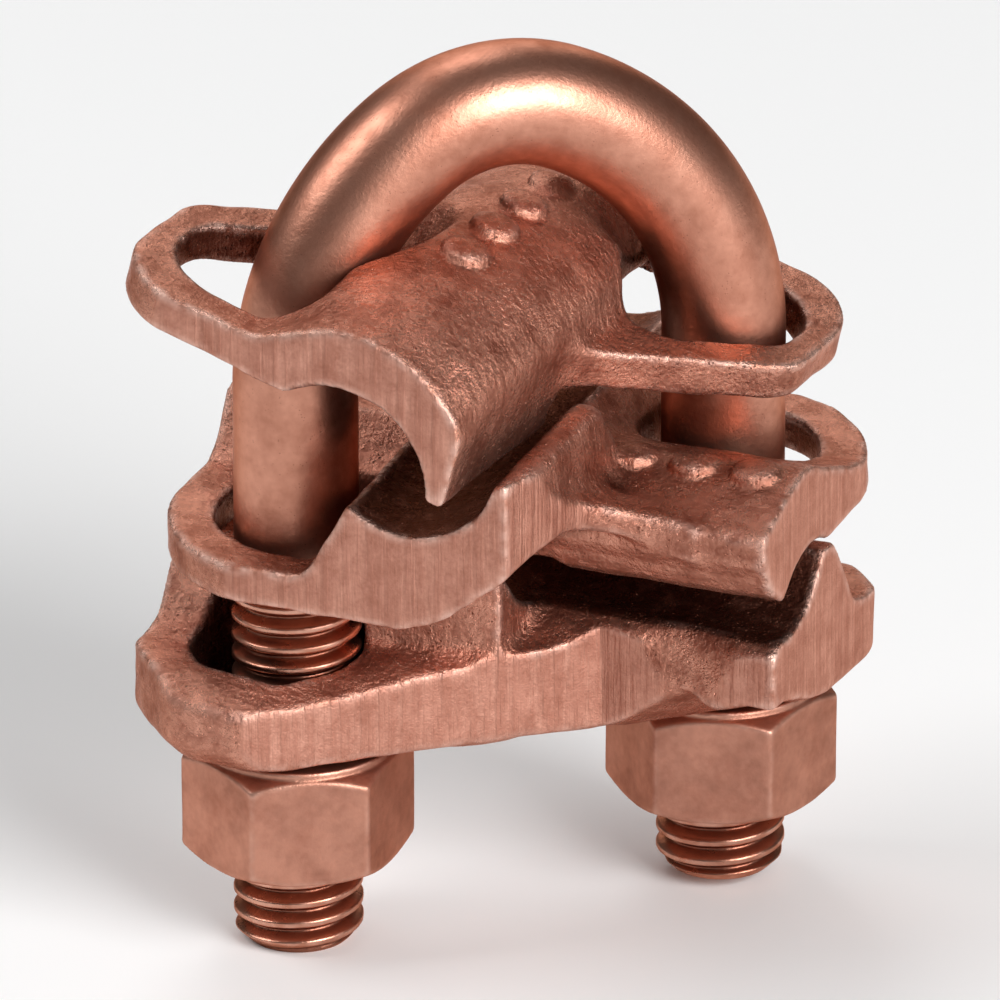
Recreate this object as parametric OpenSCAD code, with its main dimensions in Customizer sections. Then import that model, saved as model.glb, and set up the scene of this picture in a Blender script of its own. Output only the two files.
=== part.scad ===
// Cross connector: a U-bolt draws three castings together on two cables that cross at a right angle.
// The lower cable runs along X, the upper cable along Y, and the U-bolt stands on the diagonal between them.

/* [Cables] */
// Thickest cable that the seats take
cable_d = 16; // [13:0.5:17]
// Room between that cable and the wall of its seat
seat_clear = 0.2; // [0.1:0.05:0.5]

/* [U-bolt] */
// Diameter of the plain rod
shank_d = 10.6; // [9.5:0.1:11]
// Outside diameter of the thread
thread_d = 11.1; // [10:0.1:12]
// Length of thread on each leg
thread_len = 36; // [30:1:40]
// Distance between the axes of the legs
leg_spacing = 38.4; // [36:0.1:42]
// How much lower the near leg ends than the far one
leg_lead = 1; // [0:0.1:2]
// Overall height, from the near leg's end to the top of the arch
height = 78.9; // [74:0.1:90]
// Rise of the arch's centreline above the straight legs
arch_rise = 23.1; // [21:0.1:25]
// Radius of the arch's crown
crown_r = 13.7; // [12:0.1:17]
// Shift of the crown toward the near leg
crown_shift = 0.8; // [0:0.1:1.5]
// Bevel on the end of each leg
stud_bevel = 1.2; // [0.5:0.1:2]
// Swell of the rod where one bend meets the next
bend_swell = 0.04; // [0.02:0.01:0.2]

/* [Nuts] */
// Width across the flats
nut_af = 17.4; // [16:0.1:19]
// Height of a nut, washer face included
nut_h = 10.4; // [9:0.1:12]
// Thickness of the washer face
face_t = 0.6; // [0.4:0.1:1]
// How far the washer face lies inside the flats, on the radius
face_in = 0.3; // [0.1:0.1:1]
// Height of the corner bevel at each end of the hexagon
nut_bevel = 0.9; // [0.4:0.1:1.5]
// Running room between the thread and the nut, on the radius
thread_clear = 0.05; // [0.02:0.01:0.1]
// Turn of the near nut on its leg, in degrees
near_nut_turn = -27; // [-30:1:30]
// Turn of the far nut on its leg, in degrees
far_nut_turn = 20; // [-30:1:30]
// Gap between a nut and the base before it is tightened
nut_gap = 0.5; // [0.1:0.1:2]

/* [Base casting] */
// Height left between the lower seat's floor and its roof
lower_gap = 7.4; // [7.2:0.1:16]
// How far the base lies off the U-bolt's axis along X, toward the near leg
base_off_x = 0.3; // [0:0.1:0.4]
// How far the base lies off the U-bolt's axis along Y, toward the near leg
base_off_y = 0.2; // [0:0.1:0.4]
// Thickness of the slab
base_t = 7.4; // [6:0.1:9]
// Reach of the two end faces along X
base_end = 26.1; // [24:0.1:28]
// Reach of the bosses along Y
base_side = 25.6; // [24:0.1:28]
// Reach of the bosses' corners along the diagonal
base_corner = 31.9; // [30:0.1:34]
// Half width of the slab across the diagonal
base_half_w = 8.85; // [8:0.05:10]
// Height of the seat's floor above the bosses' upper face
base_floor = 2.9; // [1:0.1:4]
// Height of the seat's lips above its floor
base_lip = 5.4; // [3:0.1:6]
// Reach of the lips along X past the centre
lip_end = 3.6; // [2:0.1:5]
// Reach of the seat's floor past the cable's axis where no boss backs it
base_nose = 2.5; // [0:0.1:4]
// Thickness of the floor there, below the bosses' upper face
nose_t = 3.1; // [2:0.1:5]
// Bevel along the lower edges of the bosses
base_bevel = 2.2; // [0:0.1:3]
// Length of the slots past the legs
slot_reach = 2.6; // [1:0.1:4]

/* [Middle casting] */
// Height left between the upper seat's floor and its roof
upper_gap = 12.4; // [12:0.1:16]
// How far the casting lies off the U-bolt's axis along Y, toward the far leg
mid_off_y = 1.6; // [0:0.1:1.8]
// Lean about X as the casting hangs on the legs, in degrees
mid_lean = 2; // [-4:0.5:4]
// Swing about the U-bolt's axis, in degrees
mid_swing = 3.5; // [-5:0.5:5]
// Reach of the upper seat's end faces along Y
mid_front = 24.8; // [23:0.1:27]
// Reach of the lower seat's end faces along X
mid_end = 26.4; // [24:0.1:28]
// Height of the upper seat's floor above the ears
mid_floor = 5.3; // [4:0.1:7]
// Height of the upper seat's free lips above its floor
mid_lip = 5.9; // [4:0.1:7]
// Height of the upper seat's lips on the ears' side
mid_ear_lip = 2.5; // [1:0.1:4]
// Height of the lower seat's roof above the ears
mid_roof_h = 5.2; // [4:0.1:7]
// Foot of that roof on the near ear, from the casting's centre along Y
mid_near_foot = 4.4; // [3:0.1:6]
// Foot of that roof on the far ear, from the casting's centre along Y
mid_far_foot = 12; // [4:0.5:14]
// Depth of the lower seat's crown below the ears' upper face
mid_crown = 2.1; // [1:0.1:3]
// Where the edge of the lower seat's free lip starts, from the casting's centre
mid_tip_start = 6.8; // [6:0.1:9]
// Half width of the lower seat over its free lip
mid_half_w = 10.5; // [9:0.1:12]
// Inner side of the slots, from the casting's centre along X
mid_slot_in = 8.2; // [8:0.1:10]

/* [Cap casting] */
// Drop from the top of the arch to the ears' upper face
cap_drop = 21.7; // [21.5:0.1:30]
// How far the casting lies off the U-bolt's axis along X, toward the near leg
cap_off_x = 1.1; // [0:0.1:1.3]
// How far the casting lies off the U-bolt's axis along Y, toward the near leg
cap_off_y = 1; // [0:0.1:1.3]
// Lean about Y as the casting lies in the seat below it, in degrees
cap_lean = 16; // [0:0.5:18]
// Length of the saddle
cap_len = 51; // [46:0.5:54]
// Width over the lips
cap_w = 19.2; // [18:0.1:21]
// Radius of the roof across the saddle
cap_roof_r = 12.2; // [11:0.1:14]
// Height of the crown above the ears' upper face
cap_crown = 7.2; // [6:0.1:8]
// Fall of the crown from there to the end faces
cap_fall = 2.9; // [1:0.1:4]
// Depth of the seat's crown below the ears' upper face
cap_seat = 0.8; // [0.2:0.1:1.5]
// Depth of the lips below the ears' upper face
cap_lip = 7.4; // [6:0.1:8]
// Thickness of the ears
cap_ear_t = 3.7; // [3:0.1:5]
// Inner side of the slots, from the casting's centre along X
cap_slot_in = 5.8; // [5:0.1:7]
// How far the roof hangs over the slots above the ears
cap_shoulder = 1.8; // [0.5:0.1:2.5]
// How far the cap can rise before it meets the arch
head_room = 2.5; // [1:0.1:4]
// Room left round the arch then
head_clear = 0.4; // [0.3:0.1:1]

/* [Ears] */
// Thickness of the middle casting's ears
ear_t = 3.4; // [3:0.1:5]
// Reach of the cap's ears along X
ear_end = 24.9; // [24:0.1:27]
// Width of the rim around the slots
rim_w = 2.7; // [2:0.1:5]
// Near side of the slots, from the casting's centre along Y
slot_back = 4.8; // [4:0.1:6]
// Far side of the slots, from the casting's centre along Y
slot_front = 21.6; // [20:0.1:23]
// Room between a leg and the side of the base's slots
slot_clear = 0.75; // [0.5:0.05:1]
// Length along the seats, from the centre, that has no free lip
lip_gap = 5; // [4:0.5:7]

/* [Pips] */
// Diameter of the round pips on the cap and the middle casting
pip_d = 5; // [3:0.5:6]
// Height of the pips
pip_h = 0.9; // [0.4:0.1:1.5]
// Distance from one pip to the next
pip_pitch = 5.5; // [5:0.5:7]

/* [Hidden] */
$fa = 3;
$fs = 0.4;
bronze = "#b57a64";
rod_bronze = "#a86a55";
nut_bronze = "#bf7d68";
leg = leg_spacing / 2 / sqrt(2);
seat_r = cable_d / 2 + seat_clear;
slot_r = thread_d / 2 + slot_clear;
near_run = leg_spacing / 2 - crown_shift;
far_run = leg_spacing / 2 + crown_shift;
crown_up = arch_rise - crown_r;
near_r = flank_radius(near_run);
far_r = flank_radius(far_run);
bend_start = height - arch_rise - shank_d / 2;
cap_z = height - cap_drop;
cap_sweep = (cap_len * cap_len / 4 + cap_fall * cap_fall) / (2 * cap_fall);
mid_z = cap_z - cap_seat - upper_gap - mid_floor;
base_z = mid_z - mid_crown - lower_gap - base_floor;
nut_top = base_z - base_t - nut_gap;
// Longer than any casting, for cuts that pass right through.
through = 2 * leg_spacing;
// The castings' small sizes are drawn for a 16 mm cable and follow it.
u = cable_d / 16;

// Radius of the flank that leaves its leg upright and runs smoothly into the crown.
function flank_radius(run) = (run * run + crown_up * crown_up - crown_r * crown_r) / (2 * (run - crown_r));

// Angle at which that flank meets the crown.
function flank_angle(run) = atan2(crown_up, flank_radius(run) - run);

// Points of the arc that rounds the corner p between its neighbours a and b.
function corner_arc(p, a, b, r, n = 6) =
    let (u = (a - p) / norm(a - p), v = (b - p) / norm(b - p))
    let (half = acos(u * v) / 2, c = p + (u + v) / norm(u + v) * r / sin(half))
    let (s = p + u * r / tan(half) - c, e = p + v * r / tan(half) - c)
    let (a0 = atan2(s.y, s.x), turn = (atan2(e.y, e.x) - a0 + 540) % 360 - 180)
    [for (i = [0:n]) c + r * [cos(a0 + turn * i / n), sin(a0 + turn * i / n)]];

// Outline whose corners are [x, y, radius].
function rounded(q) =
    let (n = len(q), p = [for (k = q) [k.x, k.y]])
    [for (i = [0:n - 1])
        each q[i][2] > 0 ? corner_arc(p[i], p[(i + n - 1) % n], p[(i + 1) % n], q[i][2]) : [p[i]]];

// The same outline turned half round.
function turned(q) = [for (k = q) [-k.x, -k.y, k[2]]];

module both_ways() {
    children();
    rotate([0, 0, 180]) children();
}

module along_x(from, to) {
    translate([from, 0, 0]) rotate([90, 0, 90]) linear_extrude(to - from) children();
}

module along_y(from, to) {
    translate([0, to, 0]) rotate([90, 0, 0]) linear_extrude(to - from) children();
}

module slab(low, high) {
    translate([0, 0, low]) linear_extrude(high - low) children();
}

// U-bolt

module stud(low) {
    translate([0, 0, low]) cylinder(h = stud_bevel, d1 = thread_d - 2 * stud_bevel, d2 = thread_d);
    translate([0, 0, low + stud_bevel]) cylinder(h = thread_len - low - stud_bevel, d = thread_d);
    translate([0, 0, thread_len]) cylinder(h = bend_start - thread_len, d = shank_d);
}

module arch_part(r, from, to, rod) {
    rotate([90, 0, 0]) rotate([0, 0, from])
        rotate_extrude(angle = to - from) translate([r, 0]) circle(d = rod);
}

// Swell at one end of a bend of radius r, at the angle given.
module bend_bead(r, at, rod) {
    rotate([0, -at, 0]) translate([r, 0, 0]) sphere(d = rod + bend_swell);
}

// The three bends of the arch in a rod of the diameter given.
module arch(rod) {
    half = leg_spacing / 2;
    near_a = 180 - flank_angle(near_run);
    far_a = flank_angle(far_run);
    translate([near_r - half, 0, 0]) {
        arch_part(near_r, near_a, 180, rod);
        bend_bead(near_r, 180, rod);
    }
    translate([half - far_r, 0, 0]) {
        arch_part(far_r, 0, far_a, rod);
        bend_bead(far_r, 0, rod);
    }
    translate([-crown_shift, 0, crown_up]) {
        arch_part(crown_r, far_a, near_a, rod);
        bend_bead(crown_r, far_a, rod);
        bend_bead(crown_r, near_a, rod);
    }
}

module u_bolt() {
    color(rod_bronze) rotate([0, 0, 45]) {
        translate([-leg_spacing / 2, 0, 0]) stud(0);
        translate([leg_spacing / 2, 0, 0]) stud(leg_lead);
        translate([0, 0, bend_start]) arch(shank_d);
    }
}

// Cap casting

// Round pip whose foot is the circle of diameter pip_d.
module pip() {
    r = (pip_d * pip_d / 4 + pip_h * pip_h) / (2 * pip_h);
    translate([0, 0, pip_h - r]) intersection() {
        sphere(r = r);
        translate([0, 0, r]) cube([pip_d * 1.5, pip_d * 1.5, 4 * pip_h], center = true);
    }
}

module cap_ear() {
    w = cap_w / 2 - u;
    front = cap_len / 2;
    polygon(rounded([
        [-w, -front, 0], [-ear_end, -front, 8.5 * u], [-ear_end, -9.5 * u, 5 * u], [-w, 5.5 * u, 0],
    ]));
}

module cap_slot(inner) {
    out = ear_end - rim_w;
    polygon(rounded([
        [-inner, -slot_front + 1.5 * u, 3 * u], [-12 * u, -slot_front, 3 * u],
        [-out, -slot_front, 6.5 * u], [-out, -12.2 * u, 4 * u],
        [-out + 7.6 * u, -slot_back, 3 * u], [-inner, -slot_back, 4 * u],
    ]));
}

// Solid whose roof is round across the saddle and whose crown falls in an arc to the end faces.
module cap_roof() {
    half = asin(cap_len / (cap_sweep - 2 * cap_roof_r));
    translate([0, 0, cap_crown - cap_sweep]) rotate([0, -90, 0]) rotate([0, 0, -half])
        rotate_extrude(angle = 2 * half) translate([cap_sweep - cap_roof_r, 0]) circle(r = cap_roof_r);
}

// Height of the crown at a distance y from the casting's centre.
function crown_at(y) = cap_crown - cap_sweep + sqrt(cap_sweep * cap_sweep - y * y);

// Shallow grooves in the saddle's shoulders that let the cap rise under the arch.
module cap_groove() {
    for (drop = [0, head_room / 2, head_room]) {
        translate([0, 0, bend_start - drop]) rotate([0, 0, 45]) arch(shank_d + 2 * head_clear);
    }
}

module cap_casting() {
    color(bronze) difference() {
        translate([-cap_off_x, -cap_off_y, cap_z]) rotate([0, cap_lean, 0]) cap_body();
        cap_groove();
    }
}

module cap_body() {
    difference() {
        union() {
            intersection() {
                cap_roof();
                slab(-cap_lip, through) square([cap_w, cap_len], center = true);
                union() {
                    slab(-cap_ear_t, through) square(2 * through, center = true);
                    both_ways() slab(-through, through)
                        translate([0, -cap_len]) square([through, cap_len - lip_gap]);
                }
            }
            both_ways() slab(-cap_ear_t, 0) cap_ear();
            for (i = [-1.5:1.5]) translate([0, i * pip_pitch - u, crown_at(i * pip_pitch - u)]) pip();
        }
        translate([0, 0, -cap_seat - seat_r]) rotate([90, 0, 0])
            cylinder(r = seat_r, h = through, center = true);
        both_ways() {
            slab(-through, 0) cap_slot(cap_slot_in);
            slab(-cap_ear_t, through) cap_slot(cap_slot_in + cap_shoulder);
        }
    }
}

// Middle casting

// Outline of an ear and of the plate that joins it to the other one.
module mid_plan() {
    polygon(rounded([
        [-2 * u, -mid_front, 0], [-mid_end, -mid_front, 13.8 * u], [-mid_end, lip_gap, 0],
        [-2 * u, lip_gap, 0],
    ]));
}

module mid_slot() {
    out = mid_end - rim_w - 1.7 * u;
    front = slot_front - 0.6 * u;
    polygon(rounded([
        [-mid_slot_in, -front, 3 * u], [-out, -front, 9 * u], [-out, -slot_back, 3 * u],
        [-mid_slot_in, -slot_back, 3 * u],
    ]));
}

// Wall of the upper seat where no ear joins it.
module mid_free_wall() {
    top = mid_floor + mid_lip;
    polygon([
        [-3 * u, -ear_t], [-1.5 * u, -ear_t], [1.5 * u, -ear_t + 0.7 * u], [3.6 * u, -ear_t + 1.8 * u],
        [5.4 * u, -ear_t + 3.2 * u], [8 * u, mid_floor - 3.5 * u], [10.2 * u, mid_floor - 1.3 * u],
        [9.7 * u, mid_floor + 1.7 * u], [9.2 * u, top - 0.5 * u], [8.6 * u, top], [7.4 * u, top],
        [3 * u, mid_floor + 1.5 * u], [-3 * u, mid_floor + 0.9 * u],
    ]);
}

// Outline that takes off the outer corner of the free wall.
module mid_corner() {
    polygon(u * [[-5, 5], [11, 5], [11, 3 - mid_front / u], [8.7, -mid_front / u], [-5, -mid_front / u]]);
}

// Wall of the upper seat beside an ear.
module mid_ear_wall() {
    top = mid_floor + mid_ear_lip;
    polygon([
        [-1.5 * u, -ear_t], [-9.6 * u, -ear_t], [-9.6 * u, 0], [-5.2 * u, top], [-4 * u, top - u],
        [-1.5 * u, mid_floor + 0.6 * u],
    ]);
}

// Roof and free lip of the lower seat; the roof falls to the ear at y = foot.
module mid_roof(foot) {
    polygon([
        [foot, -ear_t], [foot, 0], [1.2 * u, mid_roof_h - 0.4 * u], [-u, mid_roof_h],
        [-5 * u, mid_roof_h - 0.7 * u], [-mid_half_w + 0.6 * u, mid_roof_h - 2.1 * u],
        [-mid_half_w, mid_roof_h - 2.6 * u], [-mid_half_w, mid_roof_h - 4.8 * u],
        [-mid_half_w + 2.2 * u, -ear_t + 0.6 * u], [-3 * u, -ear_t + 0.6 * u], [-3 * u, -ear_t],
    ]);
}

// Edge of the lower seat's free lip.
module mid_tip() {
    w = mid_half_w;
    polygon([
        [-w + 1.4 * u, -ear_t + 1.7 * u], [-w + 2.4 * u, -ear_t + 0.2 * u], [-w + 4.5 * u, -ear_t - 1.3 * u],
        [-3 * u, -ear_t], [-3 * u, -ear_t + 1.7 * u],
    ]);
}

module middle_casting() {
    color(bronze) translate([0, mid_off_y, mid_z]) rotate([mid_lean, 0, mid_swing]) difference() {
        union() {
            both_ways() {
                slab(-ear_t, 0) mid_plan();
                intersection() {
                    along_y(-mid_front, -lip_gap) mid_free_wall();
                    slab(-through, through) mid_corner();
                }
                along_y(-mid_front, lip_gap) mid_ear_wall();
                along_x(mid_tip_start, mid_end) mid_tip();
                for (i = [-1:1]) translate([18 * u + i * pip_pitch, -3 * u, mid_roof_h - 0.5 * u]) pip();
            }
            along_x(0, mid_end) mid_roof(mid_far_foot);
            rotate([0, 0, 180]) along_x(0, mid_end) mid_roof(mid_near_foot);
        }
        translate([0, 0, mid_floor + seat_r]) rotate([90, 0, 0])
            cylinder(r = seat_r, h = through, center = true);
        translate([0, 0, -mid_crown - seat_r]) rotate([0, 90, 0])
            cylinder(r = seat_r, h = through, center = true);
        both_ways() slab(-through, through) mid_slot();
    }
}

// Base casting

module base_plan() {
    face = base_half_w * sqrt(2);
    half = [
        [face - base_nose, -base_nose, 3 * u], [base_end, -base_nose, u],
        [base_end, base_side - 6.2 * u, 6 * u], [base_end - 6.6 * u, base_side, 8 * u],
        [base_side - face, base_side, 7 * u],
    ];
    polygon(rounded(concat(half, turned(half))));
}

// Underside with its edges bevelled, for a slab that reaches so far each way.
module base_underside(reach) {
    polygon([
        [-reach, through], [-reach, base_bevel - base_t], [base_bevel - reach, -base_t],
        [reach - base_bevel, -base_t], [reach, base_bevel - base_t], [reach, through],
    ]);
}

module base_slot() {
    rotate([0, 0, 45]) {
        translate([-leg_spacing / 2, 0]) circle(r = slot_r);
        translate([-leg_spacing / 2 - slot_reach, 0]) circle(r = slot_r);
        translate([-leg_spacing / 2 - slot_reach, -slot_r]) square([slot_reach, 2 * slot_r]);
    }
}

// Section through the seat and the lip beside the near boss.
module base_rib() {
    top = base_floor + base_lip;
    polygon([
        [0, -base_t], [0, base_floor + 0.5 * u], [-6 * u, top - 1.4 * u], [-7.4 * u, top],
        [-9.9 * u, top - 0.2 * u], [-11.8 * u, top - 3.1 * u], [-14.4 * u, 1.2 * u], [-16.2 * u, 0],
        [-16.2 * u, -base_t],
    ]);
}

// Outline of that lip, which narrows to its end.
module base_lip_plan() {
    polygon([
        [-through, 0], [lip_end, 0], [lip_end, -8.6 * u], [lip_end - 9 * u, -16.2 * u], [-through, -16.2 * u],
    ]);
}

// Section through the seat past the end of that lip.
module base_apron() {
    polygon([
        [0, -base_t], [0, base_floor + 0.3 * u], [-2.5 * u, base_floor - 0.9 * u], [-5 * u, 0.9 * u],
        [-10 * u, 0.2 * u], [-10 * u, -base_t],
    ]);
}

// Hollow under the part of the floor that no boss backs.
module base_hollow() {
    intersection() {
        along_x(0, through) polygon([
            [-through, -through], [7 * u, -through], [7 * u, -base_t], [-base_nose, -nose_t],
            [-through, -nose_t],
        ]);
        along_y(-through, through) polygon([
            [10.5 * u, -through], [10.5 * u, -base_t], [17 * u, -nose_t], [through, -nose_t],
            [through, -through],
        ]);
    }
}

module base_casting() {
    color(bronze) translate([-base_off_x, -base_off_y, base_z]) difference() {
        intersection() {
            slab(-base_t, through) base_plan();
            along_x(-through, through) base_underside(base_side);
            along_y(-through, through) base_underside(base_end);
            rotate([0, 0, 45]) along_y(-through, through) base_underside(base_corner);
            union() {
                slab(-base_t, 0) square(2 * through, center = true);
                both_ways() {
                    intersection() {
                        along_x(-through, lip_end) base_rib();
                        slab(-through, through) base_lip_plan();
                    }
                    along_x(-through, through) base_apron();
                }
            }
        }
        translate([0, 0, base_floor + seat_r]) rotate([0, 90, 0])
            cylinder(r = seat_r, h = through, center = true);
        both_ways() {
            slab(-through, through) base_slot();
            base_hollow();
        }
    }
}

// Nuts

module hex_nut(turn) {
    color(nut_bronze) rotate([0, 0, turn]) difference() {
        union() {
            translate([0, 0, -face_t]) cylinder(h = face_t, d = nut_af - 2 * face_in);
            intersection() {
                translate([0, 0, -nut_h]) cylinder(h = nut_h - face_t, d = nut_af / cos(30), $fn = 6);
                hex_bevel();
            }
        }
        translate([0, 0, -1.5 * nut_h]) cylinder(h = 2 * nut_h, d = thread_d + 2 * thread_clear);
    }
}

// Turned envelope that bevels the corners of the hexagon.
module hex_bevel() {
    tall = nut_h - face_t;
    rise = nut_bevel / tan(30);
    low_r = nut_af / 2 / cos(30) - rise;
    translate([0, 0, -nut_h]) {
        cylinder(h = nut_bevel, r1 = low_r, r2 = low_r + rise);
        translate([0, 0, nut_bevel]) cylinder(h = tall - 2 * nut_bevel, r = low_r + rise);
        translate([0, 0, tall - nut_bevel]) cylinder(h = nut_bevel, r1 = low_r + rise, r2 = low_r);
    }
}

module nut_left() {
    translate([-leg, -leg, nut_top]) hex_nut(near_nut_turn);
}

module nut_right() {
    translate([leg, leg, nut_top]) hex_nut(far_nut_turn);
}

u_bolt();
cap_casting();
middle_casting();
base_casting();
nut_left();
nut_right();
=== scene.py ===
"""Dresses the cross cable connector: cast bronze pieces, a threaded U-bolt and two nuts, in a pale studio.

Sizes are in millimetres until a mesh is made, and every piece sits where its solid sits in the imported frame.
"""
from __future__ import annotations

import logging
import math
from dataclasses import dataclass, field
from enum import Enum

import bpy
import numpy as np
from mathutils import Euler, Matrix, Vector

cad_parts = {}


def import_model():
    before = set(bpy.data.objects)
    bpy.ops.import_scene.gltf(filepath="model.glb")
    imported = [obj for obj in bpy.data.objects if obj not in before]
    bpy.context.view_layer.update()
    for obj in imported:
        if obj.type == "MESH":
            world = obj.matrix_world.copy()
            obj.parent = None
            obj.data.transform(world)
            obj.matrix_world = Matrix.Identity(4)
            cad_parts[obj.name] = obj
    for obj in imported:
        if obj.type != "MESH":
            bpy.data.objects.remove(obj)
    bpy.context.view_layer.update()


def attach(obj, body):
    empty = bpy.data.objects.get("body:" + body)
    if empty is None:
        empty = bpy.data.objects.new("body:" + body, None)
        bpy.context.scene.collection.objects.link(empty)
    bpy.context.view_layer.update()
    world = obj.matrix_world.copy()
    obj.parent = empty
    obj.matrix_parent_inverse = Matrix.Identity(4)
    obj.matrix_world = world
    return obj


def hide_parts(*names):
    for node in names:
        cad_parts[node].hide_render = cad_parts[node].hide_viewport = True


LOG = logging.getLogger("connector")
MM = 0.001
ROOT2 = math.sqrt(2.0)
PAST = 60.0  # farther out than any piece reaches
Point = tuple[float, float]
Span = tuple[float, float]
Corner = tuple[float, float, float]
Tone = tuple[float, float, float, float]


class Along(Enum):
    """Axis that a prism runs along."""

    X = 0
    Y = 1
    Z = 2


class Leg(Enum):
    """The two legs of the U-bolt."""

    NEAR = -1
    FAR = 1


class Mark(Enum):
    """Values that each piece stores on its vertices for its finish to read."""

    GROUND = "ground"
    WEAR = "wear"
    # Dark patina plus painted shade in seats, corners, recesses and thread grooves
    PATINA_AND_SHADE = "hollow"


class Effect(Enum):
    """Shared shader groups."""

    MOTTLE = "BronzeMottle"
    GRAIN = "CastGrain"
    TOOL_MARKS = "ToolMarks"
    # Rubbed edges, and hollows darkened by patina and painted shade
    EDGES = "EdgeWearAndPaintedShade"


def ramp(values: np.ndarray, zero: float, one: float) -> np.ndarray:
    """Runs from 0 to 1 between two values, held at its ends."""
    return np.clip((values - zero) / (one - zero), 0.0, 1.0)


# Fields: distances in millimetres, negative inside


def blend_min(a: np.ndarray, b: np.ndarray, k: float) -> np.ndarray:
    """Joins two fields with a fillet.

    Args:
        a: First field.
        b: Second field.
        k: Width of the fillet.

    Returns:
        The field of both together.
    """
    h = np.maximum(k - np.abs(a - b), 0.0)
    return np.minimum(a, b) - h * h / (4.0 * k)


def blend_max(a: np.ndarray, b: np.ndarray, k: float) -> np.ndarray:
    """Keeps what is inside both fields, with the edge between them rounded over a width of k."""
    return -blend_min(-a, -b, k)


def round_max(a: np.ndarray, b: np.ndarray, r: float) -> np.ndarray:
    """Keeps what is inside both fields, with the edge between them rounded to the radius r."""
    outside = np.hypot(np.maximum(a + r, 0.0), np.maximum(b + r, 0.0))
    return outside + np.minimum(np.maximum(a, b) + r, 0.0) - r


def rounded(corners: list[Corner], steps: int = 14) -> list[Point]:
    """Outline whose corners are rounded.

    Args:
        corners: Each corner as x, y and radius.
        steps: Pieces in each arc.

    Returns:
        Points of the outline.
    """
    out: list[Point] = []
    count = len(corners)
    for i, (x, y, r) in enumerate(corners):
        p = np.array((x, y))
        if r <= 0.0:
            out.append((x, y))
            continue
        u = np.array(corners[i - 1][:2]) - p
        v = np.array(corners[(i + 1) % count][:2]) - p
        u, v = u / np.hypot(*u), v / np.hypot(*v)
        half = math.acos(float(np.clip(u @ v, -1.0, 1.0))) / 2.0
        centre = p + (u + v) / np.hypot(*(u + v)) * r / math.sin(half)
        s, e = p + u * r / math.tan(half) - centre, p + v * r / math.tan(half) - centre
        start = math.atan2(s[1], s[0])
        turn = (math.atan2(e[1], e[0]) - start + 3.0 * math.pi) % (2.0 * math.pi) - math.pi
        for j in range(steps + 1):
            a = start + turn * j / steps
            out.append((float(centre[0] + r * math.cos(a)), float(centre[1] + r * math.sin(a))))
    return out


def outline_field(u: np.ndarray, v: np.ndarray, outline: list[Point]) -> np.ndarray:
    """Distance from an outline in its plane.

    Args:
        u: First coordinate of the sample points.
        v: Second coordinate of the sample points.
        outline: Points of the closed outline.

    Returns:
        The distance, negative inside.
    """
    best = np.full(np.broadcast_shapes(u.shape, v.shape), np.inf, np.float32)
    inside = np.zeros(best.shape, bool)
    for (ax, ay), (bx, by) in zip(outline, outline[1:] + outline[:1]):
        ex, ey = bx - ax, by - ay
        length = ex * ex + ey * ey
        if length < 1e-12:
            continue
        wu, wv = u - ax, v - ay
        t = np.clip((wu * ex + wv * ey) / length, 0.0, 1.0)
        best = np.minimum(best, (wu - t * ex) ** 2 + (wv - t * ey) ** 2)
        if ey != 0.0:
            inside ^= ((v >= ay) != (v >= by)) & (u < ax + ex * wv / ey)
    return np.where(inside, -1.0, 1.0).astype(np.float32) * np.sqrt(best)


@dataclass
class Axes:
    """Coordinates of the sample points, shaped to broadcast against each other."""

    x: np.ndarray
    y: np.ndarray
    z: np.ndarray

    def turned(self) -> Axes:
        """The same points after half a turn about Z."""
        return Axes(-self.x, -self.y, self.z)

    def prism(
        self,
        along: Along,
        outline: list[Point],
        low: float = -math.inf,
        high: float = math.inf,
        edge: float = 0.3,
    ) -> np.ndarray:
        """Field of an outline drawn out along one axis.

        Args:
            along: Axis of the prism; the outline is drawn in the other two, in order.
            outline: Points of the outline.
            low: Where the prism starts, or minus infinity.
            high: Where it ends, or infinity.
            edge: Radius on the edges of its ends.

        Returns:
            The field.
        """
        pair = {Along.X: (self.y, self.z), Along.Y: (self.x, self.z), Along.Z: (self.x, self.y)}[along]
        side = outline_field(*pair, outline)
        if math.isinf(low) and math.isinf(high):
            return side
        run = (self.x, self.y, self.z)[along.value]
        return round_max(side, np.maximum(low - run, run - high), edge)


@dataclass
class Skin:
    """A surface with its marks, in millimetres."""

    points: np.ndarray
    quads: np.ndarray
    marks: dict[Mark, np.ndarray] = field(default_factory=dict)
    triangles: np.ndarray = field(default_factory=lambda: np.zeros((0, 3), np.int32))


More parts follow.
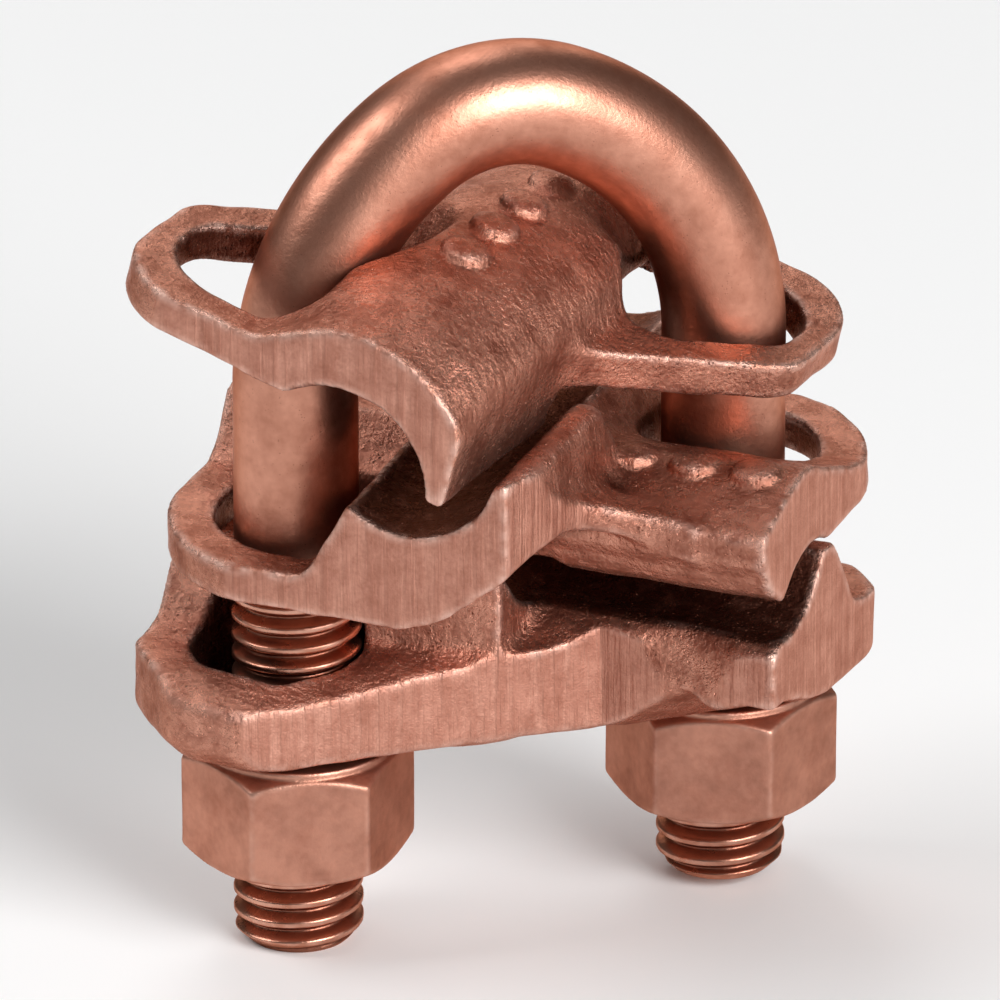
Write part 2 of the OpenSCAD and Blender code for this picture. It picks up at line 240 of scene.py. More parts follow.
@dataclass
class Lattice:
    """Box of sample points that turns a field into a surface."""

    low: Corner
    high: Corner
    step: float
    probe: float = 0.6
    passes: int = 3
    stride: float = 0.4
    least_slope: float = 0.05

    def axis(self, i: int) -> np.ndarray:
        """Coordinates along one axis."""
        return np.arange(self.low[i], self.high[i] + self.step, self.step, dtype=np.float32)

    def axes(self) -> Axes:
        """Coordinates of all the points."""
        return Axes(self.axis(0)[:, None, None], self.axis(1)[None, :, None], self.axis(2)[None, None, :])

    def ripple(self, wave: Corner, seed: int) -> np.ndarray:
        """Smooth unevenness with a spread of one.

        Args:
            wave: Size of the unevenness along each axis.
            seed: Number that picks the pattern.

        Returns:
            The unevenness at each point.
        """
        weights = []
        for i in range(3):
            t = (self.axis(i) - self.low[i]) / wave[i]
            cell = np.floor(t).astype(int)
            f = (t - cell)[:, None]
            cubic = np.hstack([
                (1 - f) ** 3, 3 * f**3 - 6 * f**2 + 4, -3 * f**3 + 3 * f**2 + 3 * f + 1, f**3,
            ]) / 6.0
            grid = np.zeros((t.size, int(cell.max()) + 4), np.float32)
            for j in range(4):
                grid[np.arange(t.size), cell + j] = cubic[:, j]
            weights.append(grid)
        knots = np.random.default_rng(seed).standard_normal([w.shape[1] for w in weights]).astype(np.float32)
        for w in weights:
            knots = np.tensordot(knots, w, axes=([0], [1]))
        return knots / knots.std()

    def read(self, values: np.ndarray, points: np.ndarray) -> np.ndarray:
        """Values between the sample points.

        Args:
            values: One value for each sample point.
            points: Where to read them.

        Returns:
            The value at each place.
        """
        t = (points - np.array(self.low)) / self.step
        top = np.array(values.shape) - 1.001
        t = np.clip(t, 0.0, top)
        i = t.astype(int)
        f = t - i
        total = np.zeros(len(points))
        for dx in (0, 1):
            for dy in (0, 1):
                for dz in (0, 1):
                    w = np.abs((1 - dx) - f[:, 0]) * np.abs((1 - dy) - f[:, 1]) * np.abs((1 - dz) - f[:, 2])
                    total += w * values[i[:, 0] + dx, i[:, 1] + dy, i[:, 2] + dz]
        return total

    def slope(self, values: np.ndarray, points: np.ndarray) -> np.ndarray:
        """Gradient of a field at some places.

        Args:
            values: Field of the piece.
            points: Places on the surface.

        Returns:
            The gradient at each place.
        """
        h = self.probe * self.step
        out = np.zeros((len(points), 3))
        for i in range(3):
            shift = np.zeros(3)
            shift[i] = h
            out[:, i] = (self.read(values, points + shift) - self.read(values, points - shift)) / (2.0 * h)
        return out

    def fullness(self, values: np.ndarray, reach: float) -> np.ndarray:
        """Share of metal near each sample point.

        Args:
            values: Field of the piece.
            reach: How far around a point counts.

        Returns:
            A half on a flat surface, less on an edge and more in a corner.
        """
        share = np.clip(0.5 - values / self.step, 0.0, 1.0).astype(np.float32)
        n = max(1, round(reach / self.step))
        for axis in range(3):
            for _ in range(2):
                pad = [(0, 0)] * 3
                pad[axis] = (n + 1, n)
                run = np.cumsum(np.pad(share, pad, mode="edge"), axis=axis, dtype=np.float64)
                size = share.shape[axis]
                high = np.take(run, range(2 * n + 1, 2 * n + 1 + size), axis=axis)
                low = np.take(run, range(0, size), axis=axis)
                share = ((high - low) / (2 * n + 1)).astype(np.float32)
        return share

    def skin(self, values: np.ndarray) -> tuple[Skin, np.ndarray]:
        """Surface where a field is zero.

        Args:
            values: Field of the piece.

        Returns:
            The surface, and its outward direction at each point.
        """
        inside = values < 0.0
        shape = tuple(n - 1 for n in values.shape)
        count = np.zeros(shape, np.uint8)
        offsets = [(dx, dy, dz) for dx in (0, 1) for dy in (0, 1) for dz in (0, 1)]
        for dx, dy, dz in offsets:
            count += inside[dx:dx + shape[0], dy:dy + shape[1], dz:dz + shape[2]]
        active = (count > 0) & (count < 8)
        number = np.full(shape, -1, np.int32)
        number[active] = np.arange(int(active.sum()), dtype=np.int32)
        cells = np.argwhere(active)
        corner = [values[tuple((cells + np.array(o)).T)] for o in offsets]
        total, hits = np.zeros((len(cells), 3)), np.zeros((len(cells), 1))
        for a in range(8):
            for b in range(a + 1, 8):
                way = np.subtract(offsets[b], offsets[a])
                if np.abs(way).sum() != 1:
                    continue
                cross = ((corner[a] < 0) != (corner[b] < 0))[:, None]
                gap = np.where(cross[:, 0], corner[a] - corner[b], 1.0)
                t = (corner[a] / gap)[:, None]
                total += np.where(cross, np.array(offsets[a]) + t * way, 0.0)
                hits += cross
        points = np.array(self.low) + (cells + total / hits) * self.step
        quads = []
        for axis in range(3):
            j, k = (axis + 1) % 3, (axis + 2) % 3
            first = np.take(inside, range(0, values.shape[axis] - 1), axis=axis)
            second = np.take(inside, range(1, values.shape[axis]), axis=axis)
            edge = np.argwhere(first != second)
            keep = (edge[:, j] > 0) & (edge[:, k] > 0) & (edge[:, j] < shape[j]) & (edge[:, k] < shape[k])
            edge = edge[keep]
            ring = []
            for dj, dk in ((1, 1), (0, 1), (0, 0), (1, 0)):
                cell = edge.copy()
                cell[:, j] -= dj
                cell[:, k] -= dk
                ring.append(number[tuple(cell.T)])
            quad = np.stack(ring, axis=1)
            leaving = first[tuple(edge.T)]
            quads.append(np.where(leaving[:, None], quad, quad[:, ::-1]))
        stride = self.stride * self.step
        for _ in range(self.passes):
            slope = self.slope(values, points)
            size = np.maximum((slope * slope).sum(1, keepdims=True), self.least_slope)
            move = self.read(values, points)[:, None] * slope / size
            points -= np.clip(move, -stride, stride)
        slope = self.slope(values, points)
        outward = slope / np.maximum(np.linalg.norm(slope, axis=1)[:, None], 1e-6)
        return Skin(points, np.concatenate(quads)), outward


@dataclass(frozen=True)
class Place:
    """Where a piece sits: turned about X, Y and Z in degrees, then shifted."""

    turn: Corner = (0.0, 0.0, 0.0)
    shift: Corner = (0.0, 0.0, 0.0)

    def to_row(self, points: np.ndarray) -> np.ndarray:
        """Points of the piece in the row's frame."""
        matrix = np.array(Euler([math.radians(a) for a in self.turn], "XYZ").to_matrix())
        return points @ matrix.T + np.array(self.shift)


@dataclass(frozen=True)
class GroundFace:
    """A flat face ground after casting, as the plane whose normal and distance are given."""

    normal: Corner
    distance: float
    spare: tuple[Corner, float] | None = None
    near: Span = (0.24, 0.09)
    facing: Span = (0.75, 0.9)

    def cut(self, a: Axes) -> np.ndarray:
        """Field of what the face leaves: all behind it, and all beyond the spare plane if there is one.

        Args:
            a: Sample points.

        Returns:
            The field.
        """
        n = np.array(self.normal) / np.linalg.norm(self.normal)
        keep = a.x * n[0] + a.y * n[1] + a.z * n[2] - self.distance
        if self.spare is not None:
            (x, y, z), far = self.spare
            keep = np.minimum(keep, far - a.x * x - a.y * y - a.z * z)
        return keep

    def mask(self, points: np.ndarray, outward: np.ndarray) -> np.ndarray:
        """How much each point belongs to the face.

        Args:
            points: Places on the surface.
            outward: Direction of the surface at each place.

        Returns:
            One on the face and zero off it.
        """
        n = np.array(self.normal) / np.linalg.norm(self.normal)
        near = ramp(np.abs(points @ n - self.distance), *self.near)
        return near * ramp(outward @ n, *self.facing)


def add_piece(name: str, skin: Skin, place: Place) -> bpy.types.Object:
    """Makes a mesh piece.

    Args:
        name: Name of the piece.
        skin: Its surface.
        place: Where it sits.

    Returns:
        The piece, in metres.
    """
    mesh = bpy.data.meshes.new(name)
    points = (place.to_row(skin.points) * MM).astype(np.float32)
    mesh.vertices.add(len(points))
    mesh.vertices.foreach_set("co", points.ravel())
    loops = np.concatenate([skin.quads.ravel(), skin.triangles.ravel()]).astype(np.int32)
    sizes = np.concatenate([np.full(len(skin.quads), 4), np.full(len(skin.triangles), 3)]).astype(np.int32)
    mesh.loops.add(len(loops))
    mesh.loops.foreach_set("vertex_index", loops)
    mesh.polygons.add(len(sizes))
    mesh.polygons.foreach_set("loop_start", np.concatenate([[0], np.cumsum(sizes)[:-1]]).astype(np.int32))
    mesh.polygons.foreach_set("use_smooth", np.ones(len(sizes), bool))
    for mark in Mark:
        values = skin.marks.get(mark, np.zeros(len(points)))
        layer = mesh.attributes.new(mark.value, "FLOAT", "POINT")
        layer.data.foreach_set("value", values.astype(np.float32))
    mesh.update(calc_edges=True)
    mesh.validate()
    piece = bpy.data.objects.new(name, mesh)
    bpy.context.scene.collection.objects.link(piece)
    LOG.info("%s: %d points, %d faces", name, len(points), len(sizes))
    return piece


# Pieces


@dataclass
class Casting:
    """What the three castings share."""

    name: str
    node: str
    body: str
    place: Place
    lattice: Lattice
    seed: int
    seat_r: float = 8.2
    ear_t: float = 3.4
    lip_gap: float = 5.0
    pip_d: float = 5.0
    pip_h: float = 0.9
    pip_side: float = 2.1
    pip_edge: float = 0.35
    pip_pitch: float = 5.5
    pip_fillet: float = 0.2
    face_edge: float = 0.3
    seat_edge: float = 0.4
    lumps: float = 0.05
    sand: float = 0.03
    edge_reach: float = 0.5
    corner_reach: float = 1.8
    # These reaches and the seated, cornered and shaded spans below set the hollow mark: patina and painted
    # shade in seats, corners and recesses
    shade_reach: float = 4.2
    worn: Span = (0.44, 0.26)
    seated: Span = (0.44, 0.24)
    cornered: Span = (0.54, 0.25)
    shaded: Span = (0.53, 0.16)

    def form(self, a: Axes) -> np.ndarray:
        """Field of the casting as it leaves the mould."""
        raise NotImplementedError

    def room(self, a: Axes) -> np.ndarray:
        """Field of the seats and slots, which the cables and the legs take up."""
        raise NotImplementedError

    def faces(self) -> list[GroundFace]:
        """Faces ground after casting."""
        raise NotImplementedError

    def pip(self, a: Axes, x: float, y: float, z: float) -> np.ndarray:
        """Field of a round pip whose foot is centred on the point given.

        Args:
            a: Sample points.
            x: Place of its foot along X.
            y: Place of its foot along Y.
            z: Height of its foot.

        Returns:
            The field.
        """
        off, ball = np.hypot(a.x - x, a.y - y), self.pip_d
        dome = np.hypot(off, a.z - z - self.pip_h + ball) - ball
        return round_max(dome, off - self.pip_side, self.pip_edge)

    def roughen(self, values: np.ndarray) -> np.ndarray:
        """Adds the unevenness of the sand mould.

        Args:
            values: Field of the piece.

        Returns:
            The field.
        """
        coarse = self.lattice.ripple((3.4, 4.2, 2.8), self.seed)
        fine = self.lattice.ripple((1.1, 1.5, 1.0), self.seed + 1)
        return values + self.lumps * coarse + self.sand * fine

    def build(self) -> bpy.types.Object:
        """Makes the casting's mesh and sets it in place of its solid.

        Returns:
            The piece.
        """
        a = self.lattice.axes()
        values = self.roughen(self.form(a))
        for face in self.faces():
            values = blend_max(values, face.cut(a), self.face_edge)
        skin, outward = self.lattice.skin(values)
        reaches = (self.edge_reach, self.corner_reach, self.shade_reach)
        edge, wide, deep = (self.lattice.read(self.lattice.fullness(values, r), skin.points) for r in reaches)
        ground = np.zeros(len(skin.points))
        for face in self.faces():
            ground = np.maximum(ground, face.mask(skin.points, outward))
        # Seats, corners and deep recesses are darkened: partly the casting's dark patina, partly painted shade
        # where occlusion falls
        inner = ramp(np.abs(self.lattice.read(self.room(a), skin.points)), *self.seated)
        (corner, over), (shade, under) = self.cornered, self.shaded
        hollow = np.clip((wide - corner) / over + (deep - shade) / under, 0.0, 1.0)
        skin.marks = {
            Mark.GROUND: ground,
            Mark.WEAR: ramp(edge, *self.worn),
            Mark.PATINA_AND_SHADE: np.maximum(hollow, inner) * (1.0 - ground),
        }
        return add_piece(self.name, skin, self.place)

    def dress(self, piece: bpy.types.Object, material: bpy.types.Material) -> None:
        """Gives the casting its finish and ties it to its body.

        Args:
            piece: The mesh piece.
            material: Its finish.
        """
        piece.data.materials.append(material)
        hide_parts(self.node)
        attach(piece, self.body)


@dataclass
class CapCasting(Casting):
    """The saddle under the arch, with an ear on each side."""

    length: float = 51.0
    width: float = 19.2
    roof_r: float = 12.2
    crown: float = 7.2
    fall: float = 2.9
    lip: float = 7.4
    seat_depth: float = 0.8
    ear_t: float = 3.7
    ear_end: float = 24.9
    slot_in: float = 5.8
    shoulder: float = 1.8
    slot_back: float = 4.8
    slot_front: float = 21.6
    rim: float = 2.7
    arch_clear: float = 0.45
    lifts: tuple[float, ...] = (0.0, 0.8, 1.6, 2.5)
    pip_count: int = 4
    pip_shift: float = -1.0
    side_edge: float = 1.2
    ear_fillet: float = 2.6
    lip_edge: float = 0.8
    groove_edge: float = 0.3

    def ear(self) -> list[Point]:
        """Outline of the near ear.

        Returns:
            Points of the outline.
        """
        w, front, out = self.width / 2.0 - 1.0, self.length / 2.0 + 0.4, self.ear_end
        return rounded([
            (-w + 6, -front, 0), (-out, -front, 8.5), (-out, -9.5, 5), (-w, 5.5, 0), (-w + 6, 5.5, 0),
        ])

    def slot(self, inner: float) -> list[Point]:
        """Outline of the near slot, whose inner side is so far from the centre.

        Args:
            inner: Distance of its inner side from the centre.

        Returns:
            Points of the outline.
        """
        out, front, back = self.ear_end - self.rim, self.slot_front, self.slot_back
        return rounded([
            (-inner, -front + 1.5, 3), (-12, -front, 3), (-out, -front, 6.5), (-out, -12.2, 4),
            (-out + 7.6, -back, 3), (-inner, -back, 4),
        ])

    def groove(self, a: Axes) -> np.ndarray:
        """Field of the room that the arch needs when the cap rises.

        Args:
            a: Sample points.

        Returns:
            The field.
        """
        lean = math.radians(self.place.turn[1])
        sx, sy, sz = self.place.shift
        x = a.x * math.cos(lean) + a.z * math.sin(lean) + sx
        y = a.y + sy
        z = -a.x * math.sin(lean) + a.z * math.cos(lean) + sz
        run, off = (x + y) / ROOT2, (y - x) / ROOT2
        rod, far = UBolt(), 9.0
        out = np.full(np.broadcast_shapes(run.shape, z.shape), far, np.float32)
        for lift in self.lifts:
            for cx, cz, r, begin, finish in rod.arcs():
                angle = np.arctan2(z - cz + lift, run - cx)
                tube = np.hypot(np.hypot(run - cx, z - cz + lift) - r, off) - rod.shank_r - self.arch_clear
                out = np.minimum(out, np.where((angle <= begin) & (angle >= finish), tube, far))
        return out

    def form(self, a: Axes) -> np.ndarray:
        """Field of the cap as it leaves the mould.

        Args:
            a: Sample points.

        Returns:
            The field.
        """
        t = a.turned()
        sweep = (self.length**2 / 4.0 + self.fall**2) / (2.0 * self.fall)
        ridge = np.hypot(a.y, a.z - self.crown + sweep) - sweep
        roof = np.hypot(ridge + self.roof_r, a.x) - self.roof_r
        body = blend_max(roof, np.maximum(np.abs(a.x) - self.width / 2.0, -self.lip - a.z), self.side_edge)
        for b in (a, t):
            body = blend_min(body, b.prism(Along.Z, self.ear(), -self.ear_t, 0.0), self.ear_fillet)
        lips = np.minimum(np.maximum(-a.x, a.y + self.lip_gap), np.maximum(a.x, self.lip_gap - a.y))
        under = np.minimum(-self.ear_t - a.z, np.maximum(lips, -self.lip - a.z))
        body = blend_max(body, under, self.lip_edge)
        for i in range(self.pip_count):
            y = (i - (self.pip_count - 1) / 2.0) * self.pip_pitch + self.pip_shift
            pip = self.pip(a, 0.0, y, self.crown - sweep + math.sqrt(sweep * sweep - y * y))
            body = blend_min(body, pip, self.pip_fillet)
        body = blend_max(body, -self.room(a), self.seat_edge)
        return blend_max(body, -self.groove(a), self.groove_edge)

    def room(self, a: Axes) -> np.ndarray:
        """Field of the seat and the two slots.

        Args:
            a: Sample points.

        Returns:
            The field.
        """
        out = np.hypot(a.x, a.z + self.seat_depth + self.seat_r) - self.seat_r
        for b in (a, a.turned()):
            under = np.maximum(b.prism(Along.Z, self.slot(self.slot_in)), a.z)
            hole = np.minimum(under, b.prism(Along.Z, self.slot(self.slot_in + self.shoulder)))
            out = np.minimum(out, hole)
        return out

    def faces(self) -> list[GroundFace]:
        """The two ends of the saddle."""
        return [GroundFace((0, s, 0), self.length / 2.0) for s in (-1, 1)]


@dataclass
class MiddleCasting(Casting):
    """The casting between the cables: a trough above, a saddle below and two ears."""

    front: float = 24.8
    end: float = 26.4
    floor: float = 5.3
    lip: float = 5.9
    ear_lip: float = 2.5
    roof: float = 5.2
    near_foot: float = 4.4
    far_foot: float = 12.0
    crown: float = 2.1
    tip_start: float = 6.8
    half_w: float = 10.5
    slot_in: float = 8.2
    slot_back: float = 4.8
    slot_front: float = 21.0
    slot_end: float = 22.0
    facet_x: float = 8.9
    facet_way: Point = (6.0, 1.6)
    facet_back: float = 16.0
    pip_at: Point = (17.0, -2.4)
    web_x: float = 9.8
    web_r: float = 10.0
    web_under: Point = (2.6, 0.298)
    web_over: Point = (5.1, 0.324)
    web_edge: float = 0.8
    web_fillet: float = 1.8
    pip_sink: float = 0.2
    seat_edge: float = 0.5
    side_edge: float = 0.5
    ear_fillet: float = 1.4
    saddle_fillet: float = 2.0
    wall_end: float = -3.2
    wall_from: float = 6.0
    wall_fall: Corner = (3.6, 2.5, 4.38)
    wall_edge: float = 0.6
    wall_bend: float = 1.4
    wall_fillet: float = 2.2
    tip_edge: float = 0.4
    tip_fillet: float = 0.6

    def plan(self) -> list[Point]:
        """Outline of the near ear and its half of the plate.

        Returns:
            Points of the outline.
        """
        front = self.front + 0.4
        return rounded([
            (-2, -front, 0), (-self.end, -front, 13.8), (-self.end, self.lip_gap, 0), (-2, self.lip_gap, 0),
        ])

    def slot(self) -> list[Point]:
        """Outline of the near slot.

        Returns:
            Points of the outline.
        """
        out, front = self.slot_end, self.slot_front
        return rounded([
            (-self.slot_in, -front, 3), (-out, -front, 9), (-out, -self.slot_back, 3),
            (-self.slot_in, -self.slot_back, 3),
        ])

    def free_wall(self) -> list[Point]:
        """Section of the trough's wall that no ear joins.

        Returns:
            Points of the outline.
        """
        t, top, e = self.floor, self.floor + self.lip, self.ear_t
        return rounded([
            (-3, -e, 0), (-1.5, -e, 0), (1.5, -e + 0.7, 0), (3.6, -e + 1.8, 0), (5.4, -e + 3.2, 0),
            (8, t - 3.5, 0), (10.6, t - 1.0, 1.2), (10.0, top, 1.3), (7.1, top, 0.8), (3, t + 1.5, 0),
            (-3, t + 0.9, 0),
        ])

    def ear_wall(self) -> list[Point]:
        """Section of the trough's wall beside an ear.

        Returns:
            Points of the outline.
        """
        top = self.floor + self.ear_lip
        low, floor = -self.ear_t, self.floor + 0.6
        return [(-1.5, low), (-9.6, low), (-9.6, 0), (-5.2, top), (-4, top - 1), (-1.5, floor)]

    def saddle(self, foot: float) -> list[Point]:
        """Section of the saddle over the lower cable, down to the ear at y = foot.

        Args:
            foot: Where it comes down on the ear.

        Returns:
            Points of the outline.
        """
        h, w, e = self.roof, self.half_w, self.ear_t
        return [
            (foot, -e), (foot, 0), (1.2, h - 0.4), (-1, h), (-5, h - 0.7), (-w + 0.6, h - 2.1), (-w, h - 2.6),
            (-w, h - 4.8), (-w + 2.2, -e + 0.6), (-3, -e + 0.6), (-3, -e),
        ]

    def tip(self) -> list[Point]:
        """Section of the edge under the saddle's free side."""
        w, e = self.half_w, self.ear_t
        return [(-w + 1.4, -e + 1.7), (-w + 2.4, -e + 0.2), (-w + 4.5, -e - 1.3), (-3, -e), (-3, -e + 1.7)]

    def web(self, b: Axes) -> np.ndarray:
        """Field of the web that sweeps from the free wall to the saddle's free side.

        Args:
            b: Sample points, as they are or turned.

        Returns:
            The field.
        """
        side, low, r = self.web_x, -self.half_w, self.web_r
        plan = np.maximum(b.x - side - r, low - r - b.y)
        plan = np.maximum(plan, np.maximum(side - 2.0 - b.x, b.y - low - 2.0))
        plan = np.maximum(plan, r - np.hypot(b.x - side - r, b.y - low + r))
        run = (b.x + b.y) / ROOT2
        under = self.web_under[0] - self.web_under[1] * run - b.z
        over = b.z - self.web_over[0] + self.web_over[1] * run
        return blend_max(plan, np.maximum(under, over) / 1.05, self.web_edge)

    def form(self, a: Axes) -> np.ndarray:
        """Field of the casting as it leaves the mould.

        Args:
            a: Sample points.

        Returns:
            The field.
        """
        t = a.turned()
        body = np.minimum(*(b.prism(Along.Z, self.plan(), -self.ear_t, 0.0) for b in (a, t)))
        for b in (a, t):
            wall = b.prism(Along.Y, self.ear_wall(), -PAST, self.lip_gap, self.side_edge)
            body = blend_min(body, wall, self.ear_fillet)
        for b, foot in ((a, self.far_foot), (t, self.near_foot)):
            saddle = b.prism(Along.X, self.saddle(foot), 0.0, PAST, self.side_edge)
            body = blend_min(body, saddle, self.saddle_fillet)
        run, drop, size = self.wall_fall
        for b in (a, t):
            wall = b.prism(Along.Y, self.free_wall(), -PAST, self.wall_end, self.wall_edge)
            fall = ((b.y + self.wall_from) * run + (b.z - self.floor - self.lip) * drop) / size
            body = blend_min(body, blend_max(wall, fall, self.wall_bend), self.wall_fillet)
            body = blend_min(body, self.web(b), self.web_fillet)
        body = blend_max(body, -self.ear_t - a.z, self.side_edge)
        x, y = self.pip_at
        for b in (a, t):
            tip = b.prism(Along.X, self.tip(), self.tip_start, PAST, self.tip_edge)
            body = blend_min(body, tip, self.tip_fillet)
            for i in (-1, 0, 1):
                pip = self.pip(b, x + i * self.pip_pitch, y, self.roof - self.pip_sink)
                body = blend_min(body, pip, self.pip_fillet)
        return blend_max(body, -self.room(a), self.seat_edge)

    def room(self, a: Axes) -> np.ndarray:
        """Field of both seats and the two slots.

        Args:
            a: Sample points.

        Returns:
            The field.
        """
        upper = np.hypot(a.x, a.z - self.floor - self.seat_r) - self.seat_r
        lower = np.hypot(a.y, a.z + self.crown + self.seat_r) - self.seat_r
        slots = np.minimum(*(b.prism(Along.Z, self.slot()) for b in (a, a.turned())))
        return np.minimum(np.minimum(upper, lower), slots)

    def faces(self) -> list[GroundFace]:
        """The ends of the trough, its cut corners and the ends of the saddle.

        Returns:
            The faces.
        """
        x, y = self.facet_way
        reach = (self.facet_x * x + self.front * y) / math.hypot(x, y)
        out = []
        for s in (-1, 1):
            out.append(GroundFace((0, s, 0), self.front))
            out.append(GroundFace((s, 0, 0), self.end))
            out.append(GroundFace((-x * s, y * s, 0), reach, ((0, -s, 0), -self.facet_back)))
        return out


@dataclass
class BaseCasting(Casting):
    """The lowest casting, with a seat for the lower cable and a boss over each nut."""

    thickness: float = 7.4
    end: float = 26.1
    side: float = 25.6
    corner: float = 31.9
    half_w: float = 8.85
    floor: float = 2.9
    lip: float = 5.4
    lip_end: float = 3.6
    nose: float = 2.5
    nose_t: float = 2.7
    bevel: float = 2.2
    rise: float = 0.5
    slot_r: float = 6.2
    slot_back: float = 0.25
    slot_reach: float = 2.4
    leg_run: float = 19.2
    scoop_x: float = 18.0
    scoop_r: float = 9.1
    scoop_off: float = 8.3
    scoop_draft: float = 0.2
    long_slope: Corner = (0.45, 0.5, 5.6)
    long_climb: Span = (0.1, -2.5)
    short_slope: Span = (1.3, 0.6)
    slope_bend: float = 1.0
    scoop_edge: float = 1.4
    slab_edge: float = 0.3
    slope_edge: float = 0.7
    apron_fillet: float = 1.0
    rib_edge: float = 0.6
    rib_side: float = 0.2
    rib_fillet: float = 1.6
    bevel_edge: float = 0.8
    corner_edge: float = 0.6
    hollow_edge: float = 0.9
    slot_fillet: float = 1.6

    def plan(self) -> list[Point]:
        """Outline of the slab.

        Returns:
            Points of the outline.
        """
        face, out, nose = (self.half_w + 0.4) * ROOT2, self.end + 0.4, self.nose + 0.4
        half: list[Corner] = [
            (face - nose, -nose, 3), (out, -nose, 1), (out, self.side - 6.6, 6),
            (self.end - 6.6, self.side, 8), (self.side - face, self.side, 7),
        ]
        return rounded(half + [(-x, -y, r) for x, y, r in half])

    def rib(self) -> list[Point]:
        """Section through the lip beside the near boss.

        Returns:
            Points of the outline.
        """
        top = self.floor + self.lip
        return [
            (0, -self.thickness), (0, self.floor + 0.5), (-6, top - 1.4), (-7.4, top), (-9.9, top - 0.2),
            (-11.8, top - 3.1), (-14.4, 1.2), (-16.2, 0), (-16.2, -self.thickness),
        ]

    def lip_plan(self) -> list[Point]:
        """Outline of that lip, which ends in a thin ridge at the long side."""
        e = self.lip_end
        return [(-PAST, 0), (e, 0), (e, -8.8), (e - 3, -9.6), (e - 13, -12), (e - 18, -16.2), (-PAST, -16.2)]

    def slopes(self, b: Axes) -> np.ndarray:
        """Field under the slopes of the near boss's upper face.

        Args:
            b: Sample points, as they are or turned.

        Returns:
            The field.
        """
        run = (b.x + b.y) / ROOT2 + self.leg_run
        off = (b.x - b.y) / ROOT2
        top, fall, start = self.long_slope
        climb, level = self.long_climb
        drop, rise = self.short_slope
        # The divisors turn the slopes into distances
        long_side = (b.z - top + fall * (off - start) - climb * np.maximum(run, level)) / 1.12
        short_side = (b.z + drop - rise * (self.side + b.y)) / 1.17
        return blend_max(long_side, short_side, self.slope_bend)

    def hollow(self, b: Axes) -> np.ndarray:
        """Field of the hollow under the part of the floor that no boss backs.

        Args:
            b: Sample points, as they are or turned.

        Returns:
            The field.
        """
        out = (b.x - b.y) / ROOT2 - self.half_w
        steep = (b.z + self.thickness - out) / ROOT2
        steep = np.maximum(steep, (b.z + self.nose_t + 0.8 * (b.x - self.scoop_x)) / 1.28)
        gentle = (b.z + self.thickness - 0.5 * out) / 1.118
        return np.maximum(blend_min(steep, gentle, 1.0), b.z + self.nose_t)

    def apron(self) -> list[Point]:
        """Section through the seat past the end of that lip.

        Returns:
            Points of the outline.
        """
        return [
            (0, -self.thickness), (0, self.floor + 0.3), (-2.5, self.floor - 0.9), (-5, 0.9), (-10, 0.2),
            (-10, -self.thickness),
        ]

    def form(self, a: Axes) -> np.ndarray:
        """Field of the base as it leaves the mould.

        Args:
            a: Sample points.

        Returns:
            The field.
        """
        t = a.turned()
        plan = outline_field(a.x, a.y, self.plan())
        body = round_max(plan, np.maximum(-self.thickness - a.z, a.z - self.rise), self.slab_edge)
        for b in (a, t):
            body = blend_max(body, self.slopes(b), self.slope_edge)
        for b in (a, t):
            apron = round_max(b.prism(Along.X, self.apron()), plan, self.slab_edge)
            body = blend_min(body, apron, self.apron_fillet)
        for b in (a, t):
            rib, lip = b.prism(Along.X, self.rib()), b.prism(Along.Z, self.lip_plan())
            rib = round_max(blend_max(rib, lip, self.rib_edge), plan, self.rib_side)
            body = blend_min(body, rib, self.rib_fillet)
        diagonal = np.abs(a.x + a.y) / ROOT2
        for reach, run in ((self.side, np.abs(a.y)), (self.end, np.abs(a.x)), (self.corner, diagonal)):
            cut = (run - a.z - reach - self.thickness + self.bevel) / ROOT2
            body = blend_max(body, cut, self.bevel_edge)
        body = blend_max(body, diagonal - self.corner, self.corner_edge)
        body = blend_max(body, -self.room(a), self.seat_edge)
        for b in (a, t):
            body = blend_max(body, -self.hollow(b), self.hollow_edge)
            back = b.y + self.nose + self.scoop_off - self.scoop_draft * b.z
            scoop = self.scoop_r - np.hypot(b.x - self.scoop_x, back)
            body = blend_max(body, scoop, self.scoop_edge)
        return body

    def room(self, a: Axes) -> np.ndarray:
        """Field of the seat and the two slots.

        Args:
            a: Sample points.

        Returns:
            The field.
        """
        out = np.hypot(a.y, a.z - self.floor - self.seat_r) - self.seat_r
        for b in (a, a.turned()):
            run, off = (b.x + b.y) / ROOT2, (b.y - b.x) / ROOT2 - self.slot_back
            near = np.clip(run, -self.leg_run - self.slot_reach, -self.leg_run)
            out = blend_min(out, np.hypot(run - near, off) - self.slot_r, self.slot_fillet)
        return out

    def faces(self) -> list[GroundFace]:
        """The two ends and the two long sides between the bosses.

        Returns:
            The faces.
        """
        out = []
        for s in (-1, 1):
            out.append(GroundFace((s, 0, 0), self.end))
            out.append(GroundFace((s, -s, 0), self.half_w, ((0, s, 0), -self.nose)))
            reach = self.half_w * ROOT2 - self.nose
            out.append(GroundFace((0, -s, 0), self.nose, ((-s, 0, 0), -reach)))
        return out


